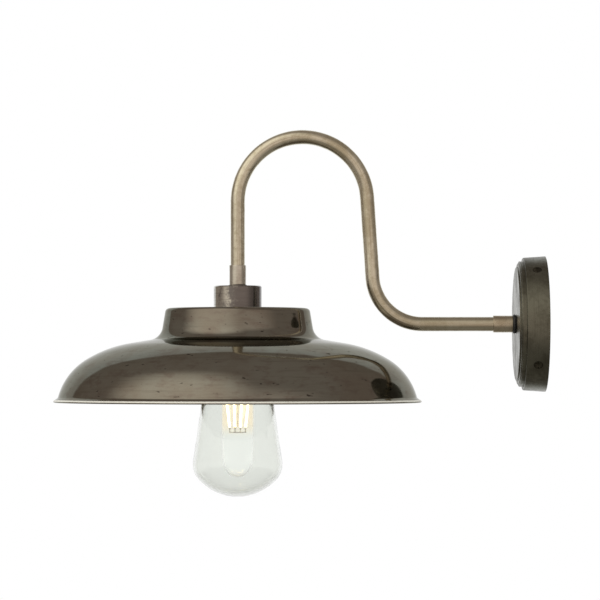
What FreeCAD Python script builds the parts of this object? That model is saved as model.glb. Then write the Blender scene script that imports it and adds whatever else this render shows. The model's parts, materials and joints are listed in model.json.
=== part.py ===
"""A gooseneck wall light: stepped wall cover, swan-neck tube, spun shade, well glass and filament lamp.

Millimetres.  The origin is the centre of the back of the wall cover, the wall is the plane x = 0 and the
room is towards -X.  +Z is up.  The lamp hangs on a vertical axis at the far end of the gooseneck.
"""

import FreeCAD, Part
import math
import os
import re
import Sketcher

# Driving sizes: name, value, meaning.  Lengths are millimetres and angles are degrees.
SIZES = [
    # gooseneck
    ("tube_diameter", 12.7, "outside of the gooseneck tube"),
    ("tube_wall", 1.2, "wall of the gooseneck tube"),
    ("wall_leg", 108.6, "wall to the start of the low bend"),
    ("low_bend_radius", 44.3, "centre line of the bend beside the wall leg"),
    ("slant_angle", 3.8, "lean of the middle leg from the vertical"),
    ("slant_length", 71.0, "straight part of the middle leg"),
    ("high_bend_radius", 57.4, "centre line of the bend at the top"),
    ("lamp_leg", 66.2, "straight end of the tube over the lamp"),
    # tube ends and the hollow threaded rods that hold them
    ("ferrule_diameter", 15.0, "outside of a tube end ferrule"),
    ("ferrule_length", 17.5, "length of a tube end ferrule"),
    ("ferrule_socket", 10.0, "depth of the tube in its ferrule"),
    ("ferrule_chamfer", 0.5, "broken edge of a ferrule"),
    ("solder_gap", 0.05, "gap filled by solder between tube and ferrule"),
    ("thread_diameter", 10.0, "outside of the hollow threaded rods"),
    ("thread_bore", 7.2, "wire bore of the hollow threaded rods"),
    ("thread_fit", 0.05, "radial play of a thread"),
    ("thread_pass", 0.2, "radial play of a plain hole round a threaded rod"),
    ("rod_grip", 6.5, "length of a threaded rod in its ferrule"),
    ("nut_width", 14.0, "across the flats of a rod nut"),
    ("nut_thickness", 3.0, "thickness of a rod nut"),
    # wall end
    ("cover_radius", 60.0, "wall cover at the wall"),
    ("cover_depth", 25.8, "wall to the face of the wall cover"),
    ("cover_rim_depth", 19.8, "depth of the plain rim of the wall cover"),
    ("cover_rim_narrowing", 1.3, "how much smaller the rim is at its front edge"),
    ("cover_wall", 2.5, "wall of the cover"),
    ("cover_face_inset", 9.6, "edge of the cover at the wall to the edge of its flat face"),
    ("bead_inset", 5.8, "edge of the cover at the wall to the round bead between face and rim"),
    ("bead_depth", 2.7, "face of the cover to the foot of its bead"),
    ("bead_roll", 1.3, "radius of the bead's edge"),
    ("face_roll", 0.65, "radius of the edge of the flat face"),
    ("rim_roll", 0.8, "radius of the front edge of the rim"),
    ("ring_diameter", 16.9, "outside of the rubber ring on the cover"),
    ("ring_thickness", 2.7, "thickness of the rubber ring on the cover"),
    ("ring_roll", 1.2, "radius of the edges of the rubber ring"),
    ("washer_thickness", 1.2, "lock washer in the cover"),
    ("washer_diameter", 18.0, "outside of the lock washer"),
    ("rod_end", 3.0, "threaded rod past its nut in the cover"),
    # cover screws, evenly spaced round the rim
    ("cover_screw_count", 4, "slotted screws in the rim"),
    ("cover_screw_place", 9.6, "wall to the axis of the cover screws"),
    ("cover_screw_turn_angle", 37.8, "turn of the first screw from the top towards the front"),
    ("cover_screw_diameter", 4.0, "thread of a cover screw"),
    ("cover_screw_head", 7.2, "head of a cover screw"),
    ("cover_screw_cone", 1.6, "height of the countersunk head"),
    ("cover_screw_sink", 0.25, "head below the rim's surface"),
    ("cover_screw_length", 9.0, "cover screw from head to tip"),
    ("screw_slot", 0.9, "width of a driver slot"),
    ("screw_slot_depth", 0.7, "depth of a driver slot"),
    ("screw_pass", 0.2, "radial play of a plain hole round a screw"),
    ("cut_past", 1.0, "cutting shapes past the surface they cut"),
    # mounting plate and what is on it
    ("gasket_thickness", 1.5, "foam gasket between mounting plate and wall"),
    ("plate_clearance", 1.7, "edge of the mounting plate to the inside of the cover at the wall"),
    ("plate_thickness", 1.5, "sheet of the mounting plate"),
    ("plate_depth", 12.5, "depth of the mounting plate's turned edge"),
    ("cable_hole_radius", 10.0, "cable entry in the mounting plate"),
    ("slot_spacing", 70.0, "between the wall screw slots"),
    ("slot_width", 4.5, "width of a wall screw slot"),
    ("slot_length", 14.0, "wall screw slot from end to end"),
    ("gasket_margin", 1.5, "gasket holes beyond the plate's holes"),
    ("block_ways", 3, "ways of the terminal block"),
    ("block_pitch", 9.0, "between the ways of the terminal block"),
    ("block_height", 16.0, "terminal block, up the wall"),
    ("block_depth", 14.0, "terminal block, out from the plate"),
    ("block_low", 20.0, "axis of the arm to the terminal block"),
    ("block_hole", 3.4, "wire hole of the terminal block"),
    ("block_wire_depth", 5.0, "wire in the terminal block"),
    ("clamp_height", 4.0, "lower end of the terminal block to its screws"),
    ("terminal_screw_diameter", 3.0, "terminal block screws"),
    ("clamp_gap", 0.1, "terminal block screws to the wires"),
    ("earth_y", 20.0, "earth screw beside the axis of the arm"),
    ("earth_drop", 24.0, "earth screw below the axis of the arm"),
    ("earth_screw_diameter", 4.0, "earth screw"),
    ("earth_head", 8.0, "head of the earth screw"),
    ("earth_head_height", 2.6, "head of the earth screw"),
    ("earth_head_chamfer", 0.7, "edge of the head of the earth screw"),
    # wires
    ("wire_diameter", 2.0, "insulated wire"),
    ("wire_spacing", 3.6, "between the two wires in the tube"),
    ("wire_bend", 5.0, "bend radius of a wire at its ends"),
    ("wire_fork", 11.0, "axis of the arm to where the supply wires draw together"),
    ("wire_below_hub", 2.0, "lampholder's hub to the bend of the wires under it"),
    ("wire_over_insert", 3.0, "porcelain insert to the bend of the wires over it"),
    ("earth_wire_drop", 14.0, "axis of the arm to the upper bend of the earth wire"),
    ("earth_wire_cross", 4.0, "axis of the arm to the middle bend of the earth wire"),
    ("earth_wire_low", 9.6, "axis of the arm down to the lower bend of the earth wire"),
    # holder cap
    ("foot_diameter", 16.4, "thin washer under the lamp's ferrule"),
    ("foot_thickness", 0.9, "thin washer under the lamp's ferrule"),
    ("cap_diameter", 42.4, "holder cap on the shade"),
    ("cap_height", 19.8, "holder cap on the shade"),
    ("cap_web", 3.0, "top of the holder cap"),
    ("cap_wall", 2.0, "side of the holder cap"),
    ("cap_chamfer", 0.9, "top edge of the holder cap"),
    # spun shade
    ("shade_wall", 1.2, "sheet of the shade"),
    ("shade_height", 83.5, "top of the collar to the rim"),
    ("collar_radius", 63.7, "collar of the shade, at its top"),
    ("collar_draft_angle", 9.5, "lean of the collar's side"),
    ("collar_roll", 3.6, "rounded top edge of the collar"),
    ("neck_radius", 13.0, "hollow between collar and shoulder"),
    ("shoulder_slope_angle", 9.3, "fall of the shoulder"),
    ("crown_radius", 107.6, "arc outside the shoulder"),
    ("crown_end_angle", 31.7, "slope where the crown arc meets the side arc"),
    ("side_radius", 55.8, "arc down the side of the bowl"),
    ("bowl_radius", 160.5, "widest part that the side arc would reach"),
    ("side_centre_drop", 9.5, "centre of the side arc below the rim"),
    ("side_end_angle", 75.5, "slope where the side arc meets the lip"),
    ("lip_flare", 2.3, "edge of the lip beyond the bowl radius"),
    ("lip_roll", 0.95, "radius of the rolled edge of the lip"),
    # gallery under the shade
    ("shade_gasket_thickness", 1.5, "rubber between shade and gallery"),
    ("spigot_length", 13.5, "threaded neck of the gallery"),
    ("spigot_wall", 1.7, "threaded neck of the gallery"),
    ("flange_radius", 33.0, "flange of the gallery"),
    ("flange_thickness", 2.5, "flange of the gallery"),
    ("gallery_wall", 3.3, "bell of the gallery"),
    ("gallery_fillet", 2.0, "between flange and bell"),
    ("gallery_depth", 45.3, "flange face to the mouth of the gallery"),
    ("ledge_depth", 20.8, "flange face to the seat of the glass"),
    ("ledge_bore", 23.0, "bore above the seat of the glass"),
    ("glass_gasket_thickness", 2.0, "rubber between gallery and glass"),
    ("rubber_inset", 0.2, "gasket edge inside its seat"),
    # well glass
    ("glass_neck_radius", 26.2, "threaded neck of the glass"),
    ("glass_play", 0.3, "radial play of the glass thread"),
    ("glass_seat_gap", 0.2, "glass to its gasket"),
    ("glass_wall", 2.4, "wall of the glass"),
    ("glass_below_rim", 83.3, "rim of the shade to the bottom of the glass"),
    ("glass_radius", 39.7, "widest part of the glass"),
    ("glass_corner", 19.0, "arc at the widest part"),
    ("glass_dome_radius", 46.5, "arc of the rounded bottom"),
    ("glass_taper_angle", 8.2, "lean of the glass's side"),
    ("glass_shoulder", 1.6, "height of the sloped shoulder under the gallery"),
    ("glass_shoulder_gap", 0.6, "gallery's mouth to the shoulder"),
    # lampholder
    ("holder_gap", 0.3, "rod nut to the lampholder"),
    ("dome_radius", 16.9, "upper part of the lampholder"),
    ("dome_height", 27.5, "upper part of the lampholder"),
    ("dome_wall", 2.2, "upper part of the lampholder"),
    ("dome_roll", 5.0, "rounded shoulder of the upper part"),
    ("hub_height", 6.5, "threaded hub of the lampholder"),
    ("hub_wall", 3.0, "threaded hub of the lampholder"),
    ("hub_left", 1.0, "lower end of the hub that its rod leaves empty"),
    ("insert_thickness", 6.0, "porcelain insert"),
    ("insert_fit", 0.2, "radial play of the porcelain insert"),
    ("insert_wire_offset", 6.8, "wire holes of the insert beside the axis"),
    ("skirt_radius", 19.5, "lower part of the lampholder"),
    ("skirt_height", 28.0, "lower part of the lampholder"),
    ("skirt_overlap", 8.0, "skirt screwed over the upper part"),
    ("skirt_taper", 1.9, "how much smaller the skirt's mouth is"),
    ("skirt_taper_height", 8.0, "tapered part of the skirt"),
    ("skirt_bore", 14.0, "bore of the skirt round the screw shell"),
    ("shell_radius", 13.8, "outside of the screw shell"),
    ("shell_sheet", 0.4, "sheet of the screw shell and the centre contact"),
    ("shell_length", 17.0, "screw shell"),
    ("shell_web_bore", 9.0, "hole in the top of the screw shell"),
    ("tongue_width", 5.0, "centre contact"),
    ("tongue_reach", 6.5, "rivet of the centre contact beside the axis"),
    ("tongue_drop", 3.3, "centre contact below the insert"),
    ("tongue_bend", 2.9, "upper bend of the centre contact beside the axis"),
    ("tongue_foot", 2.3, "flat end of the centre contact past the axis"),
    # filament lamp
    ("lamp_contact_gap", 0.3, "centre contact to the lamp"),
    ("lamp_contact_radius", 4.6, "tip of the lamp's cap"),
    ("lamp_contact_height", 1.4, "tip of the lamp's cap"),
    ("lamp_contact_edge", 0.7, "sloped edge of the lamp's tip"),
    ("lamp_contact_flat", 2.8, "flat top of the lamp's tip"),
    ("lamp_insulator_radius", 9.6, "black glass of the lamp's cap"),
    ("lamp_insulator_height", 2.6, "black glass of the lamp's cap"),
    ("lamp_cap_radius", 13.1, "threaded cap of the lamp"),
    ("lamp_cap_length", 22.0, "threaded cap of the lamp"),
    ("lamp_cap_shoulder", 2.4, "sloped top of the lamp's cap"),
    ("lamp_cap_sheet", 0.4, "sheet of the lamp's cap"),
    ("lamp_neck_radius", 12.4, "glass in the mouth of the lamp's cap"),
    ("lamp_neck_grip", 3.0, "glass in the mouth of the lamp's cap"),
    ("lamp_flare_height", 8.0, "glass from the cap to the full bulb"),
    ("lamp_radius", 14.0, "tubular bulb"),
    ("lamp_glass", 0.9, "wall of the bulb"),
    ("lamp_length", 132.4, "tip of the cap to the end of the bulb"),
    ("lamp_side_arc", 26.0, "arc between the bulb's side and its nose"),
    ("lamp_nose", 11.0, "rounded end of the bulb"),
    ("stem_flare", 11.2, "foot of the glass stem"),
    ("stem_radius", 2.8, "glass stem"),
    ("stem_length", 25.0, "glass stem"),
    ("stem_rise", 1.0, "mouth of the lamp's cap to the foot of the stem"),
    ("stem_lip", 1.0, "straight edge of the stem's foot"),
    ("stem_cone", 7.5, "foot of the stem to the end of its flare"),
    ("stem_tip", 5.0, "tapered end of the stem"),
    ("stem_tip_radius", 2.0, "end of the stem"),
    ("hanger_height", 16.2, "foot of the stem to the filaments' upper wires"),
    ("filament_count", 4, "light-emitting filaments"),
    ("filament_turn_angle", 20.0, "turn of the first filament"),
    ("filament_diameter", 1.9, "light-emitting filament"),
    ("filament_length", 38.0, "light-emitting filament"),
    ("filament_lean_angle", 6.6, "lean of the filaments towards the axis"),
    ("filament_low_radius", 7.3, "lower ends of the filaments from the axis"),
    ("filament_end_height", 43.4, "end of the bulb to the lower ends of the filaments"),
    ("lead_diameter", 0.7, "support wires in the bulb"),
    ("lead_drop", 3.0, "lower ends of the filaments to the support ring"),
    ("driver_width", 16.0, "circuit board in the lamp's cap"),
    ("driver_height", 13.0, "circuit board in the lamp's cap"),
    ("driver_board", 1.2, "circuit board in the lamp's cap"),
    ("capacitor_diameter", 6.0, "capacitor on the circuit board"),
    ("capacitor_height", 9.8, "capacitor on the circuit board"),
]

# Places worked out from the sizes: name, expression.
PLACES = [
    ("tube_radius", "tube_diameter / 2"),
    ("thread_radius", "thread_diameter / 2"),
    ("ring_front_x", "-(cover_depth + ring_thickness)"),
    ("tube_start_x", "ring_front_x - (ferrule_length - ferrule_socket)"),
    ("rise_x", "-(wall_leg + low_bend_radius * cos(slant_angle))"),
    ("rise_z", "low_bend_radius * (1 - sin(slant_angle))"),
    ("crest_x", "rise_x - slant_length * sin(slant_angle)"),
    ("crest_z", "rise_z + slant_length * cos(slant_angle)"),
    ("high_bend_x", "crest_x - high_bend_radius * cos(slant_angle)"),
    ("high_bend_z", "crest_z - high_bend_radius * sin(slant_angle)"),
    ("lamp_x", "high_bend_x - high_bend_radius"),
    ("tube_end_z", "high_bend_z - lamp_leg"),
    ("lamp_ferrule_z", "tube_end_z - (ferrule_length - ferrule_socket)"),
    ("cap_top_z", "lamp_ferrule_z - foot_thickness"),
    ("shade_top_z", "cap_top_z - cap_height"),
    ("rim_z", "shade_top_z - shade_height"),
    ("cover_face_radius", "cover_radius - cover_face_inset"),
    ("bead_radius", "cover_radius - bead_inset"),
    ("plate_radius", "cover_radius - cover_wall - plate_clearance"),
    ("cover_inside_x", "-(cover_depth - cover_wall)"),
    ("arm_nut_x", "cover_inside_x + washer_thickness"),
    ("arm_rod_x", "arm_nut_x + nut_thickness + rod_end"),
    ("plate_face_x", "-(gasket_thickness + plate_thickness)"),
    ("block_x", "plate_face_x - block_depth / 2"),
    # shade, as radius from the lamp axis and depth below the top of the collar
    ("rim_radius", "bowl_radius + lip_flare"),
    ("side_centre_r", "bowl_radius - side_radius"),
    ("side_centre_d", "shade_height + side_centre_drop"),
    ("crown_centre_r", "side_centre_r - (crown_radius - side_radius) * sin(crown_end_angle)"),
    ("crown_centre_d", "side_centre_d + (crown_radius - side_radius) * cos(crown_end_angle)"),
    ("shoulder_r", "crown_centre_r + crown_radius * sin(shoulder_slope_angle)"),
    ("shoulder_d", "crown_centre_d - crown_radius * cos(shoulder_slope_angle)"),
    ("corner_d", "(shoulder_d + (collar_radius - shoulder_r) * tan(shoulder_slope_angle))"
                 " / (1 - tan(collar_draft_angle) * tan(shoulder_slope_angle))"),
    ("corner_r", "collar_radius + corner_d * tan(collar_draft_angle)"),
    ("neck_tangent", "neck_radius * tan((90 - collar_draft_angle - shoulder_slope_angle) / 2)"),
    ("roll_tangent", "collar_roll * tan((90 - collar_draft_angle) / 2)"),
    # gallery and glass
    ("shade_hole", "cap_diameter / 2 - cap_wall + thread_pass"),
    ("flange_z", "shade_top_z - shade_wall - shade_gasket_thickness"),
    ("spigot_radius", "cap_diameter / 2 - cap_wall - thread_fit"),
    ("glass_bore", "glass_neck_radius + glass_play"),
    ("glass_top_z", "flange_z - ledge_depth - glass_gasket_thickness - glass_seat_gap"),
    ("glass_bottom_z", "rim_z - glass_below_rim"),
    ("glass_dome_z", "glass_bottom_z + glass_dome_radius"),
    ("glass_corner_r", "glass_radius - glass_corner"),
    ("glass_corner_reach", "glass_dome_radius - glass_corner"),
    ("glass_corner_z", "glass_dome_z - sqrt(pow(glass_corner_reach; 2) - pow(glass_corner_r; 2))"),
    ("glass_side_r", "glass_corner_r + glass_corner * cos(glass_taper_angle)"),
    ("glass_side_z", "glass_corner_z + glass_corner * sin(glass_taper_angle)"),
    ("glass_shoulder_z", "flange_z - gallery_depth - glass_shoulder_gap"),
    # lampholder and lamp
    ("holder_top_z", "cap_top_z - cap_web - nut_thickness - holder_gap"),
    ("insert_z", "holder_top_z - dome_height"),
    ("lamp_top_z", "insert_z - tongue_drop - shell_sheet - lamp_contact_gap"),
    ("lamp_cap_z", "lamp_top_z - lamp_contact_height - lamp_insulator_height"),
    ("lamp_mouth_z", "lamp_cap_z - lamp_cap_length"),
    ("lamp_end_z", "lamp_top_z - lamp_length"),
    ("nose_rise", "sqrt(pow(lamp_side_arc - lamp_nose; 2) - pow(lamp_side_arc - lamp_radius; 2))"),
    ("side_arc_z", "lamp_end_z + lamp_nose + nose_rise"),
    ("stem_z", "lamp_mouth_z + stem_rise"),
    ("filament_low_z", "lamp_end_z + filament_end_height"),
    ("lead_ring_z", "filament_low_z - lead_drop"),
]

AXIS = {"side": FreeCAD.Vector(0, 1, 0), "out": FreeCAD.Vector(1, 0, 0)}
TOUCHING = 1e-6  # two points nearer than this are one point

doc = FreeCAD.newDocument("GooseneckWallLight")
subparts = []


# ---------------------------------------------------------------- sizes

def write_sizes():
    """One row of the sheet for each driving size, with the name as its alias."""
    sheet = doc.addObject("Spreadsheet::Sheet", "Sizes")
    for row, (name, value, meaning) in enumerate(SIZES, start=1):
        sheet.set(f"A{row}", str(value))
        sheet.setAlias(f"A{row}", name)
        sheet.set(f"B{row}", meaning)
    doc.recompute()


def linked(text):
    """An expression in plain size names, with each name linked to the sheet or to the worked-out places."""
    def link(word):
        name = word.group(0)
        if name in SIZE_NAMES:
            return "Sizes." + name
        return "Places." + name if name in PLACE_NAMES else name
    return re.sub(r"[a-z][a-z_]*", link, str(text))


def write_places():
    """The worked-out places, each bound to its expression."""
    places = doc.addObject("App::VarSet", "Places")
    for name, expression in PLACES:
        places.addProperty("App::PropertyFloat", name, "Places", expression.replace(";", ","))
        places.setExpression(name, linked(expression))
        doc.recompute()


SIZE_NAMES = {name for name, _, _ in SIZES}
PLACE_NAMES = {name for name, _ in PLACES}
write_sizes()
write_places()


def size(text):
    """The present value of an expression in size names."""
    value = doc.Places.evalExpression(linked(text))
    return float(getattr(value, "Value", value))


# ---------------------------------------------------------------- drawing helpers

def place(piece, along=None, turn_about=None, turn=None):
    """Bind a piece's placement: along maps x, y, z to expressions, turn is in degrees about a named axis."""
    if turn_about:
        piece.Placement = FreeCAD.Placement(FreeCAD.Vector(), FreeCAD.Rotation(AXIS[turn_about], size(turn)))
        piece.setExpression("Placement.Rotation.Angle", linked(turn))
    for letter, expression in (along or {}).items():
        piece.setExpression(f"Placement.Base.{letter}", linked(expression))
    return piece


def keep(piece, label):
    """Name a finished sub-part; its label is the name of its file."""
    piece.Label = label
    subparts.append(piece)
    return piece


def new_body(name):
    return doc.addObject("PartDesign::Body", name)


def sketch_on(body, name, role="XZ_Plane"):
    """A sketch flat on one of the body's own origin planes."""
    sketch = body.newObject("Sketcher::SketchObject", name)
    plane = next(f for f in body.Origin.OriginFeatures if f.Role == role)
    sketch.AttachmentSupport = [(plane, "")]
    sketch.MapMode = "FlatFace"
    return sketch


def bind(sketch, kind, first, second, expression, name):
    """Add a named dimension to a sketch and bind it to an expression."""
    index = sketch.addConstraint(Sketcher.Constraint(kind, first, second, size(expression)))
    sketch.renameConstraint(index, name)
    sketch.setExpression(f"Constraints.{name}", linked(expression))


def arc_between(start, end, radius, clockwise):
    """The short arc of a radius from start to end, and whether its ends run the other way round."""
    middle = (start + end) / 2
    chord = end - start
    rise = math.sqrt(max(radius ** 2 - chord.Length ** 2 / 4, 0.0))
    left = FreeCAD.Vector(-chord.y, chord.x, 0).normalize()
    centre = middle - left * rise if clockwise else middle + left * rise
    first, last = (end, start) if clockwise else (start, end)
    angles = [math.atan2(p.y - centre.y, p.x - centre.x) for p in (first, last)]
    circle = Part.Circle(centre, FreeCAD.Vector(0, 0, 1), radius)
    return Part.ArcOfCircle(circle, angles[0], angles[1])


def draw(sketch, corners, closed=True):
    """Lines and arcs through corners, each (x, y) or (x, y, radius, "cw" or "ccw") for an arc that leaves it.

    Every corner is fixed by two bound coordinates and every arc by its bound radius.
    """
    points = [FreeCAD.Vector(size(c[0]), size(c[1]), 0) for c in corners]
    count = len(corners) if closed else len(corners) - 1
    ends = []
    for i in range(count):
        start, end = points[i], points[(i + 1) % len(points)]
        if len(corners[i]) == 2:
            sketch.addGeometry(Part.LineSegment(start, end), False)
            ends.append((1, 2))
        else:
            clockwise = corners[i][3] == "cw"
            sketch.addGeometry(arc_between(start, end, size(corners[i][2]), clockwise), False)
            ends.append((2, 1) if clockwise else (1, 2))
    for i in range(count if closed else count - 1):
        after = (i + 1) % count
        sketch.addConstraint(Sketcher.Constraint("Coincident", i, ends[i][1], after, ends[after][0]))
    for i, corner in enumerate(corners):
        line, end = (i, ends[i][0]) if i < count else (i - 1, ends[i - 1][1])
        for kind, value, along in (("DistanceX", corner[0], -2), ("DistanceY", corner[1], -1)):
            if value == "0":
                sketch.addConstraint(Sketcher.Constraint("PointOnObject", line, end, along))
            else:
                bind(sketch, kind, line, end, value, f"corner{i}{kind[-1]}")
        if len(corner) == 4:
            bind_radius(sketch, i, corner[2], f"arc{i}")


def bind_radius(sketch, geometry, expression, name):
    index = sketch.addConstraint(Sketcher.Constraint("Radius", geometry, size(expression)))
    sketch.renameConstraint(index, name)
    sketch.setExpression(f"Constraints.{name}", linked(expression))


def circle(sketch, x, y, radius, name):
    """A circle at (x, y) with bound place and radius."""
    centre = FreeCAD.Vector(size(x), size(y), 0)
    index = sketch.addGeometry(Part.Circle(centre, FreeCAD.Vector(0, 0, 1), size(radius)), False)
    for kind, value, along in (("DistanceX", x, -2), ("DistanceY", y, -1)):
        if value == "0":
            sketch.addConstraint(Sketcher.Constraint("PointOnObject", index, 3, along))
        else:
            bind(sketch, kind, index, 3, value, f"{name}{kind[-1]}")
    bind_radius(sketch, index, radius, f"{name}R")


def revolve(body, name, corners, kind="Revolution", axis="V_Axis", shift=None):
    """Turn a closed profile once round a sketch axis, adding or cutting."""
    sketch = sketch_on(body, name + "Profile")
    if shift:
        sketch.setExpression("AttachmentOffset.Base.x", linked(shift))
    draw(sketch, corners)
    feature = body.newObject("PartDesign::" + kind, name)
    feature.Profile = sketch
    feature.ReferenceAxis = (sketch, [axis])
    feature.Angle = 360
    return feature


def turned(label, corners, along=None, turn_about=None, turn=None):
    """A turned piece: corners are (radius, height) round the vertical axis of its own body."""
    body = new_body(label.title().replace("_", ""))
    revolve(body, "Turned" + label.title().replace("_", ""), corners)
    place(body, along, turn_about, turn)
    return keep(body, label)


def ring(inner, outer, low, high):
    """The corners of a plain ring."""
    return [(inner, low), (outer, low), (outer, high), (inner, high)]


ON_LAMP = {"x": "lamp_x"}


def at_lamp(z):
    """A place on the lamp axis."""
    return {"x": "lamp_x", "z": z}


# ---------------------------------------------------------------- gooseneck and its ends

def gooseneck_tube():
    """The hollow tube, swept along the wall leg, low bend, slanted leg, high bend and lamp leg."""
    body = new_body("GooseneckTube")
    route = sketch_on(body, "TubeRoute")
    draw(route, [
        ("tube_start_x", "0"),
        ("-wall_leg", "0", "low_bend_radius", "cw"),
        ("rise_x", "rise_z"),
        ("crest_x", "crest_z", "high_bend_radius", "ccw"),
        ("high_bend_x", "high_bend_z + high_bend_radius", "high_bend_radius", "ccw"),
        ("lamp_x", "high_bend_z"),
        ("lamp_x", "tube_end_z"),
    ], closed=False)
    section = sketch_on(body, "TubeSection", "YZ_Plane")
    section.setExpression("AttachmentOffset.Base.z", linked("tube_start_x"))
    circle(section, "0", "0", "tube_radius", "outside")
    circle(section, "0", "0", "tube_radius - tube_wall", "inside")
    sweep = body.newObject("PartDesign::AdditivePipe", "TubeSweep")
    sweep.Profile = section
    sweep.Spine = (route, [f"Edge{i + 1}" for i in range(6)])
    keep(body, "gooseneck_tube")


def ferrule(label, along, turn_about=None, turn=None):
    """A tube end: the tube sits in its socket and the threaded rod screws into its foot."""
    return turned(label, [
        ("thread_radius + thread_fit", "0"),
        ("ferrule_diameter / 2 - ferrule_chamfer", "0"),
        ("ferrule_diameter / 2", "ferrule_chamfer"),
        ("ferrule_diameter / 2", "ferrule_length - ferrule_chamfer"),
        ("ferrule_diameter / 2 - ferrule_chamfer", "ferrule_length"),
        ("tube_radius + solder_gap", "ferrule_length"),
        ("tube_radius + solder_gap", "ferrule_length - ferrule_socket"),
        ("thread_radius + thread_fit", "ferrule_length - ferrule_socket"),
    ], along, turn_about, turn)


def threaded_rod(label, length, along, turn_about=None, turn=None):
    """A hollow threaded rod that carries the wires."""
    corners = ring("thread_bore / 2", "thread_radius", "0", length)
    return turned(label, corners, along, turn_about, turn)


def hex_nut(label, along, turn_about=None, turn=None):
    """A six-sided nut on a threaded rod."""
    prism = doc.addObject("Part::Prism", label + "_prism")
    prism.Polygon = 6
    prism.setExpression("Circumradius", linked("nut_width / 2 / cos(30)"))
    prism.setExpression("Height", linked("nut_thickness"))
    bore = doc.addObject("Part::Cylinder", label + "_bore")
    bore.setExpression("Radius", linked("thread_radius + thread_fit"))
    bore.setExpression("Height", linked("nut_thickness"))
    nut = doc.addObject("Part::Cut", label)
    nut.Base = prism
    nut.Tool = bore
    place(nut, along, turn_about, turn)
    return keep(nut, label)


def arm_ends():
    """Both ferrules, the rods that hold them, and the seals, washers and nuts on the rods."""
    ferrule("wall_ferrule", {"x": "ring_front_x"}, "side", "-90")
    threaded_rod("arm_rod", "arm_rod_x - ring_front_x + rod_grip", {"x": "arm_rod_x"}, "side", "-90")
    ring_edge = "ring_diameter / 2 - ring_roll"
    turned("arm_seal_ring", [
        ("thread_radius + thread_pass", "0"),
        (ring_edge, "0", "ring_roll", "ccw"),
        ("ring_diameter / 2", "ring_roll"),
        ("ring_diameter / 2", "ring_thickness - ring_roll", "ring_roll", "ccw"),
        (ring_edge, "ring_thickness"),
        ("thread_radius + thread_pass", "ring_thickness"),
    ], {"x": "-cover_depth"}, "side", "-90")
    washer = ring("thread_radius + thread_pass", "washer_diameter / 2", "0", "washer_thickness")
    turned("arm_lock_washer", washer, {"x": "arm_nut_x"}, "side", "-90")
    hex_nut("arm_nut", {"x": "arm_nut_x + nut_thickness"}, "side", "-90")

    ferrule("lamp_ferrule", at_lamp("lamp_ferrule_z"))
    foot = ring("thread_radius + thread_pass", "foot_diameter / 2", "0", "foot_thickness")
    turned("cap_washer", foot, at_lamp("cap_top_z"))
    rod_low = "holder_top_z - hub_height + hub_left"
    threaded_rod("lamp_rod", f"lamp_ferrule_z + rod_grip - ({rod_low})", at_lamp(rod_low))
    hex_nut("cap_nut", at_lamp("cap_top_z - cap_web - nut_thickness"))


# ---------------------------------------------------------------- wall end

def wall_cover():
    """The stepped cover: flat face, two rolled mouldings and a drafted rim with countersunk screw holes."""
    body = new_body("WallCover")
    front = "-cover_depth"
    foot = "-cover_depth + bead_depth"
    rim = "-cover_rim_depth"
    edge = "cover_radius - cover_rim_narrowing"
    inside = "cover_inside_x"
    revolve(body, "CoverShell", [
        ("0", "cover_radius - cover_wall"),
        ("0", "cover_radius"),
        (f"{rim} + rim_roll", edge, "rim_roll", "ccw"),
        (rim, f"{edge} - rim_roll"),
        (rim, "bead_radius + bead_roll"),
        (foot, "bead_radius + bead_roll"),
        (foot, "bead_radius", "bead_roll", "ccw"),
        (f"{foot} - bead_roll", "bead_radius - bead_roll"),
        (f"{foot} - bead_roll", "cover_face_radius"),
        (f"{front} + face_roll", "cover_face_radius", "face_roll", "ccw"),
        (front, "cover_face_radius - face_roll"),
        (front, "thread_radius + thread_pass"),
        (inside, "thread_radius + thread_pass"),
        (inside, "cover_face_radius - cover_wall"),
        (f"{rim} + cover_wall", f"{edge} - cover_wall"),
    ], axis="H_Axis")
    head_top = "cover_radius - cover_rim_narrowing * cover_screw_place / cover_rim_depth - cover_screw_sink"
    screw_hole = revolve(body, "ScrewHole", [
        ("0", "plate_radius - plate_thickness"),
        ("cover_screw_diameter / 2 + screw_pass", "plate_radius - plate_thickness"),
        ("cover_screw_diameter / 2 + screw_pass", f"{head_top} - cover_screw_cone"),
        ("cover_screw_head / 2 + screw_pass", head_top),
        ("cover_screw_head / 2 + screw_pass", "cover_radius + cut_past"),
        ("0", "cover_radius + cut_past"),
    ], "Groove", shift="-cover_screw_place")
    pattern_round_rim(body, screw_hole, "CoverShellProfile")
    place(body, None, "out", "cover_screw_turn_angle")
    keep(body, "wall_cover")


def pattern_round_rim(body, feature, sketch_name):
    """Repeat a radial hole at every cover screw."""
    sketch = next(o for o in body.Group if o.Name.startswith(sketch_name))
    pattern = body.newObject("PartDesign::PolarPattern", feature.Name + "Pattern")
    pattern.Originals = [feature]
    pattern.Axis = (sketch, ["H_Axis"])
    pattern.Angle = 360
    pattern.setExpression("Occurrences", linked("cover_screw_count"))
    body.Tip = pattern


def slotted_cut(body, name, slot_low, slot_high, reach):
    """A driver slot across a screw head that points up, between two heights."""
    sketch = sketch_on(body, name + "Outline")
    half = "screw_slot / 2"
    draw(sketch, [(f"-{half}", slot_low), (half, slot_low), (half, slot_high), (f"-{half}", slot_high)])
    slot = body.newObject("PartDesign::Pocket", name)
    slot.Profile = sketch
    slot.Type = "Length"
    slot.Midplane = True
    slot.setExpression("Length", linked(reach))
    return slot


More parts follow.
